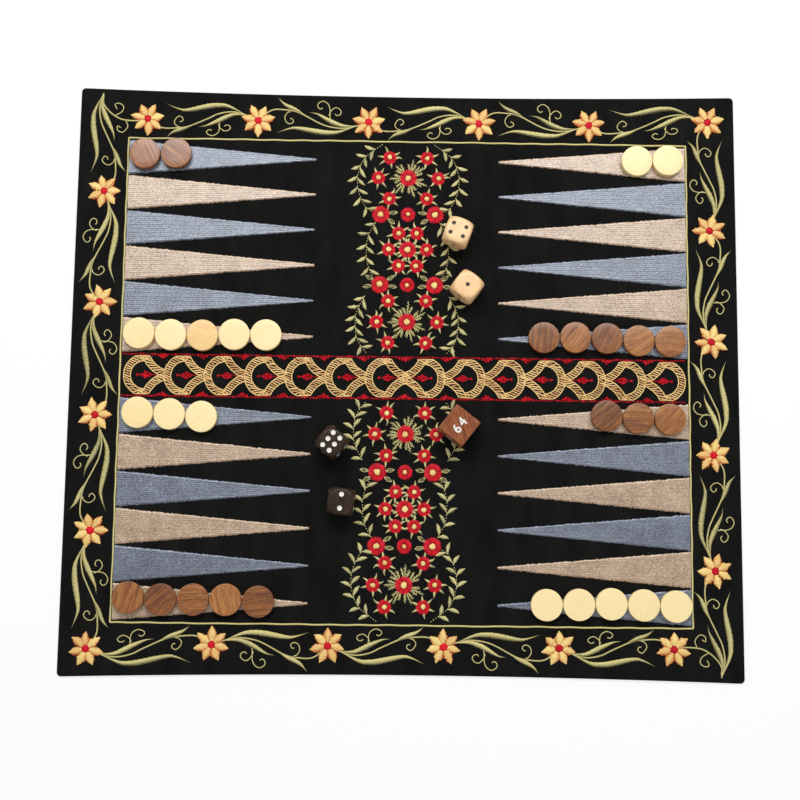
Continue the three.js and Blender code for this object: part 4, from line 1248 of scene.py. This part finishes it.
for name in MEN:
    low, high = node_box(name)
    r, z = man_profile((high[0] - low[0]) / 2, high[2] - low[2])
    angle = np.linspace(0, TURN, MAN_SIDES, endpoint=False)[:, None]
    local = np.stack([r * np.cos(angle), r * np.sin(angle), z + 0 * angle], axis=-1)
    foot = np.r_[(low[:2] + high[:2]) / 2, low[2]]
    finish = light_wood if name.startswith("light") else dark_wood
    finish = honey_wood if name == HONEY_MAN else finish
    disc = patch(local + foot, own_grain(local), wrap=True)
    make_piece(f"{name}_disc", [disc], [finish], name, stands_for=name, weld=True)

# %% Blocks and pips
PIP_STEP, PIP_DEPTH, PIP_SLOPE, PIP_RIM = 4.1, 0.45, 0.55, 0.1
DIE_EDGE, DIE_BALL, BALL_SOFT, DIE_GRID, FACES_SUM = 1.2, 10.8, 24, 73, 7
PIPS = {
    1: [[0, 0]], 2: [[0, -1], [0, 1]], 3: [[-1, -1], [0, 0], [1, 1]],
    4: [[-0.97, -0.73], [-0.97, 0.73], [0.97, -0.73], [0.97, 0.73]],
    5: [[-1, -1], [-1, 1], [0, 0], [1, -1], [1, 1]],
    6: [[-0.62, -1.15], [-0.62, 0], [-0.62, 1.15], [0.62, -1.15], [0.62, 0], [0.62, 1.15]],
}


def turn_about(axis, angle):
    """A turn about x, y or z (0, 1 or 2) as a matrix."""
    first, second = (axis + 1) % 3, (axis + 2) % 3
    turn = np.eye(3)
    turn[first, first] = turn[second, second] = np.cos(angle)
    turn[second, first], turn[first, second] = np.sin(angle), -np.sin(angle)
    return turn


FACE_TURNS = [turn_about(0, np.pi / 2 * quarter) for quarter in (0, 2, 1, -1)]
FACE_TURNS += [turn_about(1, np.pi / 2 * quarter) for quarter in (1, -1)]
print(len(FACE_TURNS), "faces to a block")


def block_face(half, edge, ball, count):
    """The top face of a block: a square grid whose rim is rounded by edge and whose corners
    are worn back softly to a ball: p / (1 + (|p| / ball)^k)^(1 / k), with k the softness."""
    side = np.linspace(-half, half, count)
    top = np.full((count, count), half)
    points = np.stack([*np.meshgrid(side, side, indexing="ij"), top], axis=-1)
    core = np.clip(points, edge - half, half - edge)
    away = points - core
    points = core + edge * away / np.maximum(np.linalg.norm(away, axis=-1), 1e-9)[..., None]
    far = np.linalg.norm(points, axis=-1)
    return points / (1 + (far / ball) ** BALL_SOFT)[..., None] ** (1 / BALL_SOFT)


def pip_face(half, value, radius):
    """A die's face with its pips sunk in by a smooth step, and how far each point lies from
    the nearest pip's middle."""
    points = block_face(half, DIE_EDGE, DIE_BALL, DIE_GRID)
    pips = np.array(PIPS[value]) * PIP_STEP
    away = np.linalg.norm(points[..., None, :2] - pips, axis=-1).min(axis=-1)
    sunk = np.clip((radius + PIP_RIM - away) / PIP_SLOPE, 0, 1)
    points[..., 2] -= PIP_DEPTH * sunk * sunk * (3 - 2 * sunk)
    return points, away


# %% Dice
DICE = {"light_die_1": (4, -20), "light_die_2": (1, -37), "dark_die_1": (6, -40), "dark_die_2": (2, -7)}
for name, (top, degrees) in DICE.items():
    low, high = node_box(name)
    first, second = (value for value in (1, 2, 3) if value != min(top, FACES_SUM - top))
    values = [top, FACES_SUM - top, first, FACES_SUM - first, FACES_SUM - second, second]
    finish, radius = (light_die, LIGHT_PIP) if name.startswith("light") else (dark_die, DARK_PIP)
    sides, away = zip(*(pip_face((high[2] - low[2]) / 2, value, radius) for value in values))
    local = np.stack([points @ turn.T for points, turn in zip(sides, FACE_TURNS)])
    placed = local @ turn_about(2, np.radians(degrees)).T + (low + high) / 2
    make_piece(f"{name}_block", [patch(placed, own_grain(local))], [finish], name, stands_for=name,
               weld=True, pip=np.stack(away).ravel())

# %% [markdown]
# ## The doubling cube
# A crisp block with the powers of two on its faces, the 64 on top. Digits could be drawn as
# outlines by hand, but Blender's own plain font is close to the painted ones: each number is
# made a mesh, turned to its face and laid just above the wood like paint.

# %% Cube
CUBE_TURN, CUBE_EDGE, CUBE_GRID = turn_about(2, np.radians(-37.6)), 0.35, 25
low, high = node_box("doubling_cube")
half, middle = (high[2] - low[2]) / 2, (low + high) / 2
top_face = block_face(half, CUBE_EDGE, half * 2, CUBE_GRID)
local = np.stack([top_face @ turn.T for turn in FACE_TURNS])
block = patch(local @ CUBE_TURN.T + middle, own_grain(local))
make_piece("doubling_block", [block], [cube_wood], "doubling_cube", stands_for="doubling_cube", weld=True)

# %% Numerals
DIGIT_HEIGHT, DIGIT_THICK, DIGIT_SPACE, DIGIT_BOLD = 5.8, 0.02, 1.35, 0.018
NUMERALS = ["64", "2", "4", "8", "16", "32"]
paint_finish, wire, shader = new_finish("white_paint", 0.45)
worn = place_of(wire).noise(1500.0, 3.0).within(0.25, 0.7)
dress(wire, shader, worn.blend((214, 210, 202), (246, 245, 240)))


def numeral_mesh(text):
    """A number's mesh in millimetres, centred, lying in the xy plane."""
    curve = bpy.data.curves.new("numeral", "FONT")
    curve.body, curve.size, curve.extrude = text, 1.0, 0.001
    curve.space_character, curve.offset = DIGIT_SPACE, DIGIT_BOLD
    holder = put("numeral", curve)
    bpy.context.view_layer.update()
    drawn = holder.evaluated_get(bpy.context.evaluated_depsgraph_get())
    shape = bpy.data.meshes.new_from_object(drawn)
    bpy.data.objects.remove(holder)
    bpy.data.curves.remove(curve)
    points = np.empty(len(shape.vertices) * 3, np.float32)
    shape.vertices.foreach_get("co", points)
    points = points.reshape(-1, 3).astype(float)
    low, high = points[:, :2].min(axis=0), points[:, :2].max(axis=0)
    points[:, :2] = (points[:, :2] - (low + high) / 2) * (DIGIT_HEIGHT / (high - low)[1])
    points[:, 2] = np.sign(points[:, 2]) * DIGIT_THICK
    faces = [tuple(face.vertices) for face in shape.polygons]
    bpy.data.meshes.remove(shape)
    return points, faces


vertices, faces = [], []
for text, turn in zip(NUMERALS, FACE_TURNS):
    points, polygons = numeral_mesh(text)
    points = points @ turn_about(2, np.pi / 2).T + [0, 0, half]
    start = sum(len(part) for part in vertices)
    vertices.append(points @ turn.T @ CUBE_TURN.T + middle)
    faces += [tuple(corner + start for corner in polygon) for polygon in polygons]
mesh = bpy.data.meshes.new("cube_numerals")
mesh.from_pydata((np.concatenate(vertices) * MM).tolist(), [], faces)
mesh.materials.append(paint_finish)
numerals = put("cube_numerals", mesh)
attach(numerals, "doubling_cube")
print("numerals", len(faces), "faces")
